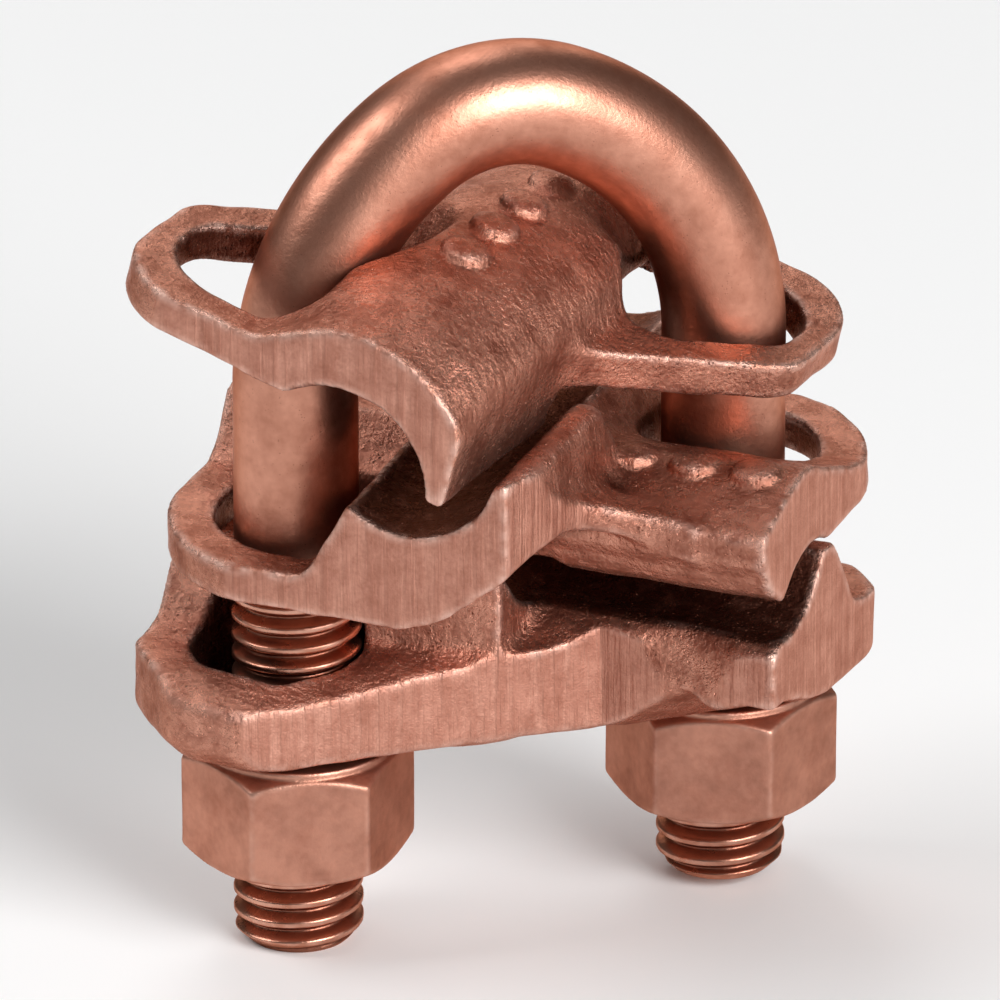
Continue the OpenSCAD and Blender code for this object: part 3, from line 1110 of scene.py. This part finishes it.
@dataclass
class UBolt:
    """The bent rod with a thread on both legs."""

    name: str = "u_bolt_rod"
    node: str = "u_bolt"
    body: str = "u_bolt"
    height: float = 78.9
    spacing: float = 38.4
    rise: float = 23.1
    crown_r: float = 13.7
    crown_shift: float = 0.8
    lead: float = 1.0
    shank_r: float = 5.3
    thread_r: float = 5.55
    thread_len: float = 36.0
    depth: float = 1.02
    pitch: float = 1.814
    bevel: float = 1.2
    columns: int = 72
    thread_rows: int = 16
    plain_from: float = 38.0
    plain_step: float = 0.9
    bend_step: float = 0.6
    flanks: Span = (0.10, 0.78)
    runout: Span = (0.4, -1.8)
    worn: Span = (0.8, 1.0)
    hollowed: Span = (0.85, 0.0)

    def flank(self, run: float) -> tuple[float, float]:
        """Radius of the flank over one leg, and the angle at which it meets the crown.

        Args:
            run: Distance of the leg from the crown.

        Returns:
            The radius, and the angle in radians.
        """
        up = self.rise - self.crown_r
        r = (run * run + up * up - self.crown_r**2) / (2.0 * (run - self.crown_r))
        return r, math.atan2(up, r - run)

    def arcs(self) -> tuple[tuple[float, float, float, float, float], ...]:
        """The three bends, each as run and height of its centre, radius, first and last angle.

        Returns:
            The bends, from the near leg to the far one.
        """
        half, start = self.spacing / 2.0, self.height - self.rise - self.shank_r
        near_r, near_a = self.flank(half - self.crown_shift)
        far_r, far_a = self.flank(half + self.crown_shift)
        return (
            (near_r - half, start, near_r, math.pi, math.pi - near_a),
            (-self.crown_shift, start + self.rise - self.crown_r, self.crown_r, math.pi - near_a, far_a),
            (half - far_r, start, far_r, far_a, 0.0),
        )

    def spine(self) -> np.ndarray:
        """Centreline as rows of run, height and the direction along it.

        Returns:
            One row for each ring of points.
        """
        half, start = self.spacing / 2.0, self.height - self.rise - self.shank_r
        rows: list[tuple[float, ...]] = []
        fine, threaded = self.pitch / self.thread_rows, self.thread_len + 1.0
        rise = np.concatenate([
            np.arange(0.0, threaded, fine), np.arange(self.plain_from, start, self.plain_step),
        ])
        for z in rise:
            rows.append((-half, float(z), 0.0, 1.0))
        for cx, cz, r, begin, finish in self.arcs():
            count = max(8, round(abs(finish - begin) * r / self.bend_step))
            for a in np.linspace(begin, finish, count, endpoint=False):
                rows.append((cx + r * math.cos(a), cz + r * math.sin(a), math.sin(a), -math.cos(a)))
        down = np.concatenate([
            np.arange(start, self.plain_from, -self.plain_step), np.arange(threaded, self.lead - 1e-6, -fine),
            [self.lead],
        ])
        for z in down:
            rows.append((half, float(z), 0.0, -1.0))
        return np.array(rows)

    def thread(self, height: np.ndarray, angle: np.ndarray, end: float) -> tuple[np.ndarray, np.ndarray]:
        """Radius of the threaded leg.

        Args:
            height: Height of each point.
            angle: Its angle about the leg's axis.
            end: Height of the leg's end.

        Returns:
            The radius, and how close each point is to the thread's crest.
        """
        phase = (height / self.pitch - angle / (2.0 * math.pi)) % 1.0
        flank = ramp(np.abs(2.0 * phase - 1.0), *self.flanks)
        crest = 0.5 * flank + 0.5 * flank * flank * (3.0 - 2.0 * flank)
        fade = ramp(height - self.thread_len, *self.runout)
        cut = self.thread_r - self.depth * (1.0 - crest)
        radius = self.shank_r + (cut - self.shank_r) * fade
        cone = self.thread_r - self.bevel + (height - end)
        return np.minimum(radius, np.maximum(cone, 0.5)), crest * fade + (1.0 - fade)

    def build(self) -> bpy.types.Object:
        """Makes the rod's mesh.

        Returns:
            The piece.
        """
        spine = self.spine()
        turn = np.arange(self.columns) * 2.0 * math.pi / self.columns
        rows = len(spine)
        run, up, t_run, t_up = (spine[:, i][:, None] for i in range(4))
        cos, sin = np.cos(turn)[None, :], np.sin(turn)[None, :]
        angle = np.arctan2(sin, cos * t_up)
        radius = np.full((rows, self.columns), self.shank_r)
        crest = np.ones((rows, self.columns))
        half = self.spacing / 2.0 - 1e-4
        for leg, end in ((run < -half, 0.0), (run > half, self.lead)):
            low = (leg & (up < self.thread_len + 1.5))[:, 0]
            cut, near = self.thread(up[low], angle[low], end)
            radius[low], crest[low] = cut, near
        s = run + radius * cos * t_up
        z = up - radius * cos * t_run
        off = radius * sin
        points = np.stack([(s - off) / ROOT2, (s + off) / ROOT2, z], axis=-1).reshape(-1, 3)
        i, j = np.meshgrid(np.arange(rows - 1), np.arange(self.columns), indexing="ij")
        k = (j + 1) % self.columns
        here = i * self.columns
        above = here + self.columns
        quads = np.stack([here + j, here + k, above + k, above + j], axis=-1).reshape(-1, 4)
        ends, fans = [], []
        total = len(points)
        for row, flip in ((0, True), (rows - 1, False)):
            ring = row * self.columns + np.arange(self.columns)
            ends.append(points[ring].mean(0))
            tip = np.full(self.columns, total + len(ends) - 1)
            fan = np.stack([ring, np.roll(ring, -1), tip], axis=-1)
            fans.append(fan[:, ::-1] if flip else fan)
        marks = np.concatenate([crest.ravel(), [1.0, 1.0]])
        on_thread = np.concatenate([(radius != self.shank_r).ravel(), [True, True]])
        skin = Skin(np.concatenate([points, np.array(ends)]), quads, triangles=np.concatenate(fans))
        skin.marks = {
            Mark.WEAR: np.where(on_thread, ramp(marks, *self.worn), 0.0),
            # Thread roots take the hollow mark: grime and painted shade in the grooves
            Mark.PATINA_AND_SHADE: np.where(on_thread, ramp(marks, *self.hollowed), 0.0),
            Mark.GROUND: on_thread.astype(float),
        }
        return add_piece(self.name, skin, Place())

    def dress(self, piece: bpy.types.Object, material: bpy.types.Material) -> None:
        """Gives the rod its finish and ties it to its body.

        Args:
            piece: The mesh piece.
            material: Its finish.
        """
        piece.data.materials.append(material)
        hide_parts(self.node)
        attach(piece, self.body)


@dataclass
class HexNut:
    """A washer-faced hexagon nut."""

    name: str
    node: str
    leg: Leg
    turn: float
    seed: int
    top: float = 18.4
    offset: float = 13.576
    flats: float = 17.4
    height: float = 10.4
    washer_t: float = 0.6
    washer_d: float = 16.8
    bevel: float = 0.9
    bore_r: float = 5.6
    sink: float = 0.9
    sink_slope: float = 0.8
    lap: float = 0.4
    side_edge: float = 0.25
    face_edge: float = 0.15
    washer_edge: float = 0.12
    edge_reach: float = 0.4
    worn: Span = (0.45, 0.25)
    hollowed: Span = (0.52, 0.72)
    uneven: float = 0.018
    box: float = 10.8
    spare: float = 0.6
    step: float = 0.2

    def build(self) -> bpy.types.Object:
        """Makes the nut's mesh.

        Returns:
            The piece.
        """
        low = (-self.box, -self.box, -self.height - self.spare)
        lattice = Lattice(low, (self.box, self.box, self.spare), self.step)
        a = lattice.axes()
        r = np.hypot(a.x, a.y)
        tall = self.height - self.washer_t
        side = None
        for i in range(3):
            angle = math.radians(30.0 + 60.0 * i)
            flat = np.abs(a.x * math.cos(angle) + a.y * math.sin(angle)) - self.flats / 2.0
            side = flat if side is None else round_max(side, flat, self.side_edge)
        mid = -self.height + tall / 2.0
        depth = np.abs(a.z - mid) - tall / 2.0
        low_r = self.flats / 2.0 / math.cos(math.pi / 6.0) - self.bevel / math.tan(math.pi / 6.0)
        cone = 0.5 * (r - low_r) + math.cos(math.pi / 6.0) * depth
        body = round_max(blend_max(side, cone, self.side_edge), depth, self.face_edge)
        disc = np.maximum(a.z, -self.washer_t - self.lap - a.z)
        body = blend_min(body, round_max(r - self.washer_d / 2.0, disc, self.washer_edge), self.face_edge)
        sink = np.maximum(0.0, self.sink + depth) * self.sink_slope
        body = blend_max(body, self.bore_r + np.where(a.z < mid, sink, 0.0) - r, self.face_edge)
        body = body + self.uneven * lattice.ripple((3.0, 3.0, 2.4), self.seed)
        skin, _ = lattice.skin(body)
        edge = lattice.read(lattice.fullness(body, self.edge_reach), skin.points)
        skin.marks = {
            Mark.WEAR: ramp(edge, *self.worn),
            # Inner corners take the hollow mark: grime and painted shade
            Mark.PATINA_AND_SHADE: ramp(edge, *self.hollowed),
            Mark.GROUND: np.ones(len(skin.points)),
        }
        shift = self.leg.value * self.offset
        return add_piece(self.name, skin, Place((0.0, 0.0, self.turn), (shift, shift, self.top)))

    def dress(self, piece: bpy.types.Object, material: bpy.types.Material) -> None:
        """Gives the nut its finish and ties it to its body.

        Args:
            piece: The mesh piece.
            material: Its finish.
        """
        piece.data.materials.append(material)
        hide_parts(self.node)
        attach(piece, self.node)


# Finishes


class Wiring:
    """Adds nodes to a tree and joins them."""

    def __init__(self, tree: bpy.types.NodeTree) -> None:
        """Takes the tree to work on."""
        self.tree = tree

    def node(self, kind: str, inputs: dict | None = None, **settings: object) -> bpy.types.Node:
        """Adds a node.

        Args:
            kind: Its type.
            inputs: Values or sockets for its inputs, by name or number.
            **settings: Its other properties.

        Returns:
            The node.
        """
        node = self.tree.nodes.new(kind)
        for key, value in settings.items():
            setattr(node, key, value)
        for key, value in (inputs or {}).items():
            if isinstance(value, bpy.types.NodeSocket):
                self.tree.links.new(value, node.inputs[key])
            else:
                node.inputs[key].default_value = value
        return node

    def calc(self, operation: str, a: object, b: object, clamp: bool = False) -> bpy.types.NodeSocket:
        """Result of a sum on two values or sockets."""
        return self.node("ShaderNodeMath", {0: a, 1: b}, operation=operation, use_clamp=clamp).outputs[0]

    def spread(self, value: object, low: float, high: float, to: Span = (0.0, 1.0)) -> bpy.types.NodeSocket:
        """Stretches a value from one range to another, held at its ends."""
        inputs = {"Value": value, "From Min": low, "From Max": high, "To Min": to[0], "To Max": to[1]}
        return self.node("ShaderNodeMapRange", inputs, clamp=True).outputs[0]

    def tone(self, share: object, a: object, b: object, how: str = "MIX") -> bpy.types.NodeSocket:
        """Mixes two colours."""
        inputs = {0: share, 6: a, 7: b}
        return self.node("ShaderNodeMix", inputs, data_type="RGBA", blend_type=how).outputs[2]

    def mark(self, mark: Mark) -> bpy.types.NodeSocket:
        """Value stored on the piece's vertices."""
        return self.node("ShaderNodeAttribute", attribute_name=mark.value).outputs["Fac"]

    def place(self) -> bpy.types.NodeSocket:
        """Place on the piece, in metres."""
        return self.node("ShaderNodeTexCoord").outputs["Object"]

    def noise(
        self, place: object, scale: object, detail: float = 2.0, roughness: float = 0.5
    ) -> bpy.types.NodeSocket:
        """Soft noise at a place."""
        inputs = {"Vector": place, "Scale": scale, "Detail": detail, "Roughness": roughness}
        return self.node("ShaderNodeTexNoise", inputs).outputs[0]

    def join(self, value: bpy.types.NodeSocket, to: bpy.types.NodeSocket) -> None:
        """Links an output to an input."""
        self.tree.links.new(value, to)


class Effects:
    """The shader groups that the finishes share."""

    def __init__(self) -> None:
        """Builds every group once."""
        self.trees = {
            Effect.MOTTLE: self.mottle(),
            Effect.GRAIN: self.grain(),
            Effect.TOOL_MARKS: self.tool_marks(),
            Effect.EDGES: self.edges(),
        }

    @staticmethod
    def start(
        effect: Effect, ins: dict[str, object], outs: dict[str, str]
    ) -> tuple[Wiring, dict[str, bpy.types.NodeSocket], bpy.types.Node]:
        """Opens a group.

        Args:
            effect: Which group.
            ins: Its inputs with their usual values.
            outs: Its outputs with their kinds.

        Returns:
            The wiring, the input sockets and the output node.
        """
        tree = bpy.data.node_groups.new(effect.value, "ShaderNodeTree")
        for name, value in ins.items():
            kind = "NodeSocketColor" if isinstance(value, tuple) else "NodeSocketFloat"
            tree.interface.new_socket(name, in_out="INPUT", socket_type=kind).default_value = value
        for name, kind in outs.items():
            tree.interface.new_socket(name, in_out="OUTPUT", socket_type=kind)
        wiring = Wiring(tree)
        begin, end = wiring.node("NodeGroupInput"), wiring.node("NodeGroupOutput")
        return wiring, {s.name: s for s in begin.outputs}, end

    def mottle(self) -> bpy.types.NodeTree:
        """Patches of lighter and darker bronze.

        Returns:
            The group.
        """
        ins = {
            "Light Tone": (0.6, 0.3, 0.2, 1.0), "Dark Tone": (0.3, 0.1, 0.07, 1.0), "Patches": 300.0,
            "Balance": 0.5,
        }
        w, i, end = self.start(Effect.MOTTLE, ins, {"Tone": "NodeSocketColor", "Patch": "NodeSocketFloat"})
        place = w.place()
        large = w.noise(place, i["Patches"], 4.0, 0.6)
        small = w.noise(place, w.calc("MULTIPLY", i["Patches"], 6.0))
        both = w.calc("ADD", w.calc("MULTIPLY", large, 0.7), w.calc("MULTIPLY", small, 0.3))
        low = w.calc("SUBTRACT", i["Balance"], 0.16)
        share = w.calc("DIVIDE", w.calc("SUBTRACT", both, low), 0.32, clamp=True)
        w.join(w.tone(share, i["Dark Tone"], i["Light Tone"]), end.inputs["Tone"])
        w.join(share, end.inputs["Patch"])
        return w.tree

    def grain(self) -> bpy.types.NodeTree:
        """Grain and pits of a sand mould.

        Returns:
            The group.
        """
        ins = {"Grain": 1000.0, "Pits": 0.5}
        w, i, end = self.start(Effect.GRAIN, ins, {"Height": "NodeSocketFloat", "Pit": "NodeSocketFloat"})
        place = w.place()
        coarse = w.noise(place, i["Grain"], 5.0, 0.62)
        finer = w.calc("MULTIPLY", i["Grain"], 1.3)
        cells = w.node("ShaderNodeTexVoronoi", {"Vector": place, "Scale": finer})
        pit = w.spread(cells.outputs["Distance"], 0.05, 0.3, (1.0, 0.0))
        few = w.noise(place, w.calc("MULTIPLY", i["Grain"], 0.35))
        pit = w.calc("MULTIPLY", pit, w.spread(few, 0.52, 0.62))
        pit = w.calc("MULTIPLY", pit, i["Pits"])
        w.join(w.calc("SUBTRACT", coarse, pit), end.inputs["Height"])
        w.join(pit, end.inputs["Pit"])
        return w.tree

    def tool_marks(self) -> bpy.types.NodeTree:
        """Upright lines left by the grinder and a fine matte tooth.

        Returns:
            The group.
        """
        ins = {"Lines": 900.0, "Depth": 0.5}
        outs = {"Height": "NodeSocketFloat", "Line": "NodeSocketFloat"}
        w, i, end = self.start(Effect.TOOL_MARKS, ins, outs)
        place = w.place()
        drawn = w.node("ShaderNodeMapping", {"Vector": place, "Scale": (1.0, 1.0, 0.05)}).outputs[0]
        lines = w.noise(drawn, i["Lines"], 3.0, 0.6)
        tooth = w.noise(place, 5200.0)
        line = w.calc("MULTIPLY", w.spread(lines, 0.35, 0.68), i["Depth"])
        w.join(w.calc("ADD", line, w.calc("MULTIPLY", tooth, 0.5)), end.inputs["Height"])
        w.join(line, end.inputs["Line"])
        return w.tree

    def edges(self) -> bpy.types.NodeTree:
        """Bright rubbed edges, and hollows darkened by patina and painted shade.

        Returns:
            The group.
        """
        ins = {"Rub": 1.0, "Grime And Shade": 1.0}
        w, i, end = self.start(Effect.EDGES, ins, {"Bright": "NodeSocketFloat", "Dark": "NodeSocketFloat"})
        broken = w.noise(w.place(), 700.0, 3.0)
        rub = w.calc("MULTIPLY", w.mark(Mark.WEAR), w.spread(broken, 0.35, 0.6))
        w.join(w.calc("MULTIPLY", rub, i["Rub"], clamp=True), end.inputs["Bright"])
        # Painted shade with patina wherever the hollow mark lies
        dark = w.calc("MULTIPLY", w.mark(Mark.PATINA_AND_SHADE), w.spread(broken, 0.25, 0.5, (0.6, 1.0)))
        w.join(w.calc("MULTIPLY", dark, i["Grime And Shade"], clamp=True), end.inputs["Dark"])
        return w.tree

    def use(self, w: Wiring, effect: Effect, inputs: dict[str, object]) -> bpy.types.Node:
        """Places a group in a material with its own values."""
        return w.node("ShaderNodeGroup", inputs, node_tree=self.trees[effect])


@dataclass(frozen=True)
class Finish:
    """What the bronze finishes share: their tones and how they shine."""

    name: str
    light: Tone
    dark: Tone
    rubbed: Tone
    # Colour of patina and painted shade in hollows; the rod's pits also take it as dirt
    grime_and_shade: Tone
    metallic: float = 1.0
    edge_tint: Tone = (0.72, 0.46, 0.38, 1.0)

    def open(self) -> tuple[bpy.types.Material, Wiring, bpy.types.Node]:
        """Starts the material with its own shader.

        Returns:
            The material, its wiring and its shader.
        """
        material = bpy.data.materials.new(self.name)
        material.use_nodes = True
        shader = next(n for n in material.node_tree.nodes if n.type == "BSDF_PRINCIPLED")
        shader.inputs["Metallic"].default_value = self.metallic
        shader.inputs["Specular Tint"].default_value = self.edge_tint
        return material, Wiring(material.node_tree), shader


@dataclass(frozen=True)
class CastFinish(Finish):
    """Sand-cast bronze with ground faces."""

    face_light: Tone = (0.68, 0.345, 0.255, 1.0)
    face_dark: Tone = (0.42, 0.175, 0.12, 1.0)
    cast_rough: Span = (0.34, 0.2)
    face_rough: Span = (0.5, 0.58)
    line_share: float = 0.6
    grain_depth: float = 0.0002
    line_depth: float = 0.00016

    def material(self, effects: Effects) -> bpy.types.Material:
        """Builds the material.

        Args:
            effects: The shared groups.

        Returns:
            The material.
        """
        material, w, shader = self.open()
        ground = w.mark(Mark.GROUND)
        cast = effects.use(w, Effect.MOTTLE, {
            "Light Tone": self.light, "Dark Tone": self.dark, "Patches": 320.0, "Balance": 0.5})
        face = effects.use(w, Effect.MOTTLE, {
            "Light Tone": self.face_light, "Dark Tone": self.face_dark, "Patches": 420.0, "Balance": 0.47})
        edges = effects.use(w, Effect.EDGES, {"Rub": 0.9, "Grime And Shade": 0.95})
        grain = effects.use(w, Effect.GRAIN, {"Grain": 2200.0, "Pits": 0.9})
        marks = effects.use(w, Effect.TOOL_MARKS, {"Lines": 1100.0, "Depth": 1.0})
        share = w.calc("MULTIPLY", marks.outputs["Line"], self.line_share)
        lined = w.tone(share, face.outputs["Tone"], self.face_dark)
        tone = w.tone(ground, cast.outputs["Tone"], lined)
        # Painted shade with patina in seats, corners and recesses
        tone = w.tone(edges.outputs["Dark"], tone, self.grime_and_shade)
        tone = w.tone(edges.outputs["Bright"], tone, self.rubbed)
        w.join(tone, shader.inputs["Base Color"])
        rough = w.spread(cast.outputs["Patch"], 0.0, 1.0, self.cast_rough)
        matte = w.spread(marks.outputs["Line"], 0.0, 0.6, self.face_rough)
        mixed = w.node("ShaderNodeMix", {0: ground, 2: rough, 3: matte}, data_type="FLOAT").outputs[0]
        w.join(mixed, shader.inputs["Roughness"])
        bump = w.node("ShaderNodeBump", {
            "Height": grain.outputs["Height"], "Distance": self.grain_depth,
            "Strength": w.spread(ground, 0.0, 1.0, (1.0, 0.08))})
        fine = w.node("ShaderNodeBump", {
            "Height": marks.outputs["Height"], "Distance": self.line_depth, "Normal": bump.outputs[0],
            "Strength": w.spread(ground, 0.0, 1.0, (0.35, 0.8))})
        w.join(fine.outputs[0], shader.inputs["Normal"])
        return material


@dataclass(frozen=True)
class RodFinish(Finish):
    """Satin drawn rod, darker in its thread."""

    thread_tone: Tone = (0.48, 0.21, 0.14, 1.0)
    thread_share: float = 0.6
    plain_rough: Span = (0.42, 0.34)
    thread_rough: Span = (0.34, 0.26)
    grain_depth: float = 0.00006

    def material(self, effects: Effects) -> bpy.types.Material:
        """Builds the material.

        Args:
            effects: The shared groups.

        Returns:
            The material.
        """
        material, w, shader = self.open()
        threaded = w.mark(Mark.GROUND)
        drawn = effects.use(w, Effect.MOTTLE, {
            "Light Tone": self.light, "Dark Tone": self.dark, "Patches": 160.0, "Balance": 0.46})
        edges = effects.use(w, Effect.EDGES, {"Rub": 0.7, "Grime And Shade": 0.6})
        grain = effects.use(w, Effect.GRAIN, {"Grain": 2600.0, "Pits": 0.25})
        share = w.calc("MULTIPLY", threaded, self.thread_share)
        tone = w.tone(share, drawn.outputs["Tone"], self.thread_tone)
        tone = w.tone(w.spread(grain.outputs["Pit"], 0.05, 0.4), tone, self.grime_and_shade)
        # Painted shade with grime in the thread's grooves
        tone = w.tone(edges.outputs["Dark"], tone, self.grime_and_shade)
        tone = w.tone(edges.outputs["Bright"], tone, self.rubbed)
        w.join(tone, shader.inputs["Base Color"])
        rough = w.spread(drawn.outputs["Patch"], 0.0, 1.0, self.plain_rough)
        smooth = w.spread(drawn.outputs["Patch"], 0.0, 1.0, self.thread_rough)
        mixed = w.node("ShaderNodeMix", {0: threaded, 2: rough, 3: smooth}, data_type="FLOAT").outputs[0]
        w.join(mixed, shader.inputs["Roughness"])
        bump = w.node("ShaderNodeBump", {
            "Height": grain.outputs["Height"], "Distance": self.grain_depth, "Strength": 0.5})
        w.join(bump.outputs[0], shader.inputs["Normal"])
        return material


@dataclass(frozen=True)
class NutFinish(Finish):
    """Satin forged nuts with scuffs and a few dark smudges."""

    clean: Tone = (1.0, 1.0, 1.0, 1.0)
    smudged: Tone = (0.62, 0.6, 0.6, 1.0)
    rough: Span = (0.52, 0.42)
    line_depth: float = 0.00006

    def material(self, effects: Effects) -> bpy.types.Material:
        """Builds the material.

        Args:
            effects: The shared groups.

        Returns:
            The material.
        """
        material, w, shader = self.open()
        forged = effects.use(w, Effect.MOTTLE, {
            "Light Tone": self.light, "Dark Tone": self.dark, "Patches": 240.0, "Balance": 0.44})
        smudge = effects.use(w, Effect.MOTTLE, {
            "Light Tone": self.clean, "Dark Tone": self.smudged, "Patches": 110.0, "Balance": 0.40})
        edges = effects.use(w, Effect.EDGES, {"Rub": 0.8, "Grime And Shade": 0.8})
        marks = effects.use(w, Effect.TOOL_MARKS, {"Lines": 500.0, "Depth": 0.3})
        tone = w.tone(1.0, forged.outputs["Tone"], smudge.outputs["Tone"], "MULTIPLY")
        # Painted shade with grime in the nut's inner corners
        tone = w.tone(edges.outputs["Dark"], tone, self.grime_and_shade)
        tone = w.tone(edges.outputs["Bright"], tone, self.rubbed)
        w.join(tone, shader.inputs["Base Color"])
        rough = w.spread(smudge.outputs["Patch"], 0.0, 1.0, self.rough)
        w.join(rough, shader.inputs["Roughness"])
        bump = w.node("ShaderNodeBump", {
            "Height": marks.outputs["Height"], "Distance": self.line_depth, "Strength": 0.6})
        w.join(bump.outputs[0], shader.inputs["Normal"])
        return material


# Studio


@dataclass(frozen=True)
class Softbox:
    """A square lamp that faces the part."""

    name: str
    azimuth: float
    elevation: float
    distance: float
    size: float
    power: float

    def place(self, target: Vector) -> None:
        """Adds the lamp, aimed at the target.

        Args:
            target: Where it aims.
        """
        a, e = math.radians(self.azimuth), math.radians(self.elevation)
        way = Vector((math.sin(a) * math.cos(e), -math.cos(a) * math.cos(e), math.sin(e)))
        data = bpy.data.lights.new(self.name, "AREA")
        data.shape, data.size, data.energy = "SQUARE", self.size, self.power
        lamp = bpy.data.objects.new(self.name, data)
        lamp.location = target + way * self.distance
        lamp.rotation_euler = way.to_track_quat("Z", "Y").to_euler()
        bpy.context.scene.collection.objects.link(lamp)


@dataclass
class Studio:
    """The pale floor, the lamps and the camera."""

    azimuth: float = 25.44
    elevation: float = 22.83
    distance: float = 1104.9
    aim: float = 38.25
    slide: Point = (-0.904, -0.848)
    lens: float = 468.8
    sensor: float = 36.0
    clip: Span = (0.05, 50.0)
    floor_tone: Tone = (0.94, 0.94, 0.94, 1.0)
    floor_r: float = 6.0
    floor_rough: float = 0.9
    floor_shine: float = 0.1
    world: float = 0.11
    lamps: tuple[Softbox, ...] = (
        Softbox("key_softbox", 66.0, 27.0, 1.3, 0.8, 19.0),
        Softbox("side_softbox", -62.0, 44.0, 1.3, 0.7, 6.5),
        Softbox("back_softbox", 205.0, 24.0, 1.4, 1.0, 3.6),
        Softbox("high_softbox", 222.0, 56.0, 1.3, 0.5, 3.0),
    )

    def add_floor(self) -> None:
        """Makes the floor at the level of the longer stud's end."""
        data = bpy.data.meshes.new("studio_floor")
        r, sides = self.floor_r, 64
        turns = [2.0 * math.pi * i / sides for i in range(sides)]
        ring = [(r * math.cos(a), r * math.sin(a), 0.0) for a in turns]
        data.from_pydata(ring, [], [list(range(sides))])
        floor = bpy.data.objects.new("studio_floor", data)
        material = bpy.data.materials.new("pale_floor")
        material.use_nodes = True
        shader = next(n for n in material.node_tree.nodes if n.type == "BSDF_PRINCIPLED")
        shader.inputs["Base Color"].default_value = self.floor_tone
        shader.inputs["Roughness"].default_value = self.floor_rough
        shader.inputs["Specular IOR Level"].default_value = self.floor_shine
        data.materials.append(material)
        bpy.context.scene.collection.objects.link(floor)

    def add_light(self) -> None:
        """Sets the lamps and the soft light all round."""
        world = bpy.data.worlds.new("studio")
        world.use_nodes = True
        back = next(n for n in world.node_tree.nodes if n.type == "BACKGROUND")
        back.inputs["Color"].default_value = (1.0, 1.0, 1.0, 1.0)
        back.inputs["Strength"].default_value = self.world
        bpy.context.scene.world = world
        for lamp in self.lamps:
            lamp.place(Vector((0.0, 0.0, self.aim * MM)))

    def add_camera(self) -> None:
        """Puts the camera at the photograph's angle."""
        a, e = math.radians(self.azimuth), math.radians(self.elevation)
        back = Vector((math.sin(a) * math.cos(e), -math.cos(a) * math.cos(e), math.sin(e)))
        right = Vector((math.cos(a), math.sin(a), 0.0))
        up = back.cross(right)
        target = Vector((0.0, 0.0, self.aim))
        eye = target + back * self.distance
        aim = target + right * self.slide[0] + up * self.slide[1]
        data = bpy.data.cameras.new("camera")
        data.lens, data.sensor_width = self.lens, self.sensor
        data.clip_start, data.clip_end = self.clip
        camera = bpy.data.objects.new("camera", data)
        camera.location = eye * MM
        camera.rotation_euler = (eye - aim).to_track_quat("Z", "Y").to_euler()
        bpy.context.scene.collection.objects.link(camera)
        bpy.context.scene.camera = camera

    def build(self) -> None:
        """Sets up the whole studio."""
        self.add_floor()
        self.add_light()
        self.add_camera()
        bpy.context.scene.view_settings.view_transform = "Standard"


CAST = CastFinish(
    "cast_bronze",
    light=(0.68, 0.32, 0.225, 1.0),
    dark=(0.30, 0.105, 0.068, 1.0),
    rubbed=(0.90, 0.60, 0.50, 1.0),
    grime_and_shade=(0.10, 0.03, 0.018, 1.0),
    metallic=0.86,
)
ROD = RodFinish(
    "drawn_bronze",
    light=(0.66, 0.31, 0.215, 1.0),
    dark=(0.42, 0.17, 0.11, 1.0),
    rubbed=(0.72, 0.40, 0.30, 1.0),
    grime_and_shade=(0.10, 0.025, 0.014, 1.0),
)
NUT = NutFinish(
    "forged_bronze",
    light=(0.60, 0.285, 0.20, 1.0),
    dark=(0.44, 0.185, 0.125, 1.0),
    rubbed=(0.78, 0.48, 0.38, 1.0),
    grime_and_shade=(0.12, 0.04, 0.025, 1.0),
)
NUTS = (
    HexNut("nut_near", "nut_left", Leg.NEAR, -27.0, 51),
    HexNut("nut_far", "nut_right", Leg.FAR, 20.0, 53),
)


def make_castings() -> list[Casting]:
    """The three castings where they hang on the legs.

    Returns:
        The castings, from the top down.
    """
    return [
        CapCasting(
            "cap_cast", "cap_casting", "cap", Place((0.0, 16.0, 0.0), (-1.1, -1.0, 57.2)),
            Lattice((-26.2, -26.8, -8.6), (26.2, 26.8, 9.2), 0.3), 11),
        MiddleCasting(
            "middle_cast", "middle_casting", "middle", Place((2.0, 0.0, 3.5), (0.0, 1.6, 38.7)),
            Lattice((-27.6, -26.0, -6.0), (27.6, 26.0, 12.4), 0.32), 23),
        BaseCasting(
            "base_cast", "base_casting", "base", Place((0.0, 0.0, 0.0), (-0.3, -0.2, 26.3)),
            Lattice((-27.4, -27.0, -8.6), (27.4, 27.0, 9.6), 0.32), 37),
    ]


def main() -> None:
    """Builds and dresses every piece, then the studio."""
    logging.basicConfig(level=logging.INFO, format="%(name)s: %(message)s")
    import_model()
    effects = Effects()
    cast = CAST.material(effects)
    for casting in make_castings():
        casting.dress(casting.build(), cast)
    rod = UBolt()
    rod.dress(rod.build(), ROD.material(effects))
    nut_finish = NUT.material(effects)
    for nut in NUTS:
        nut.dress(nut.build(), nut_finish)
    Studio().build()


if __name__ == "__main__":
    main()
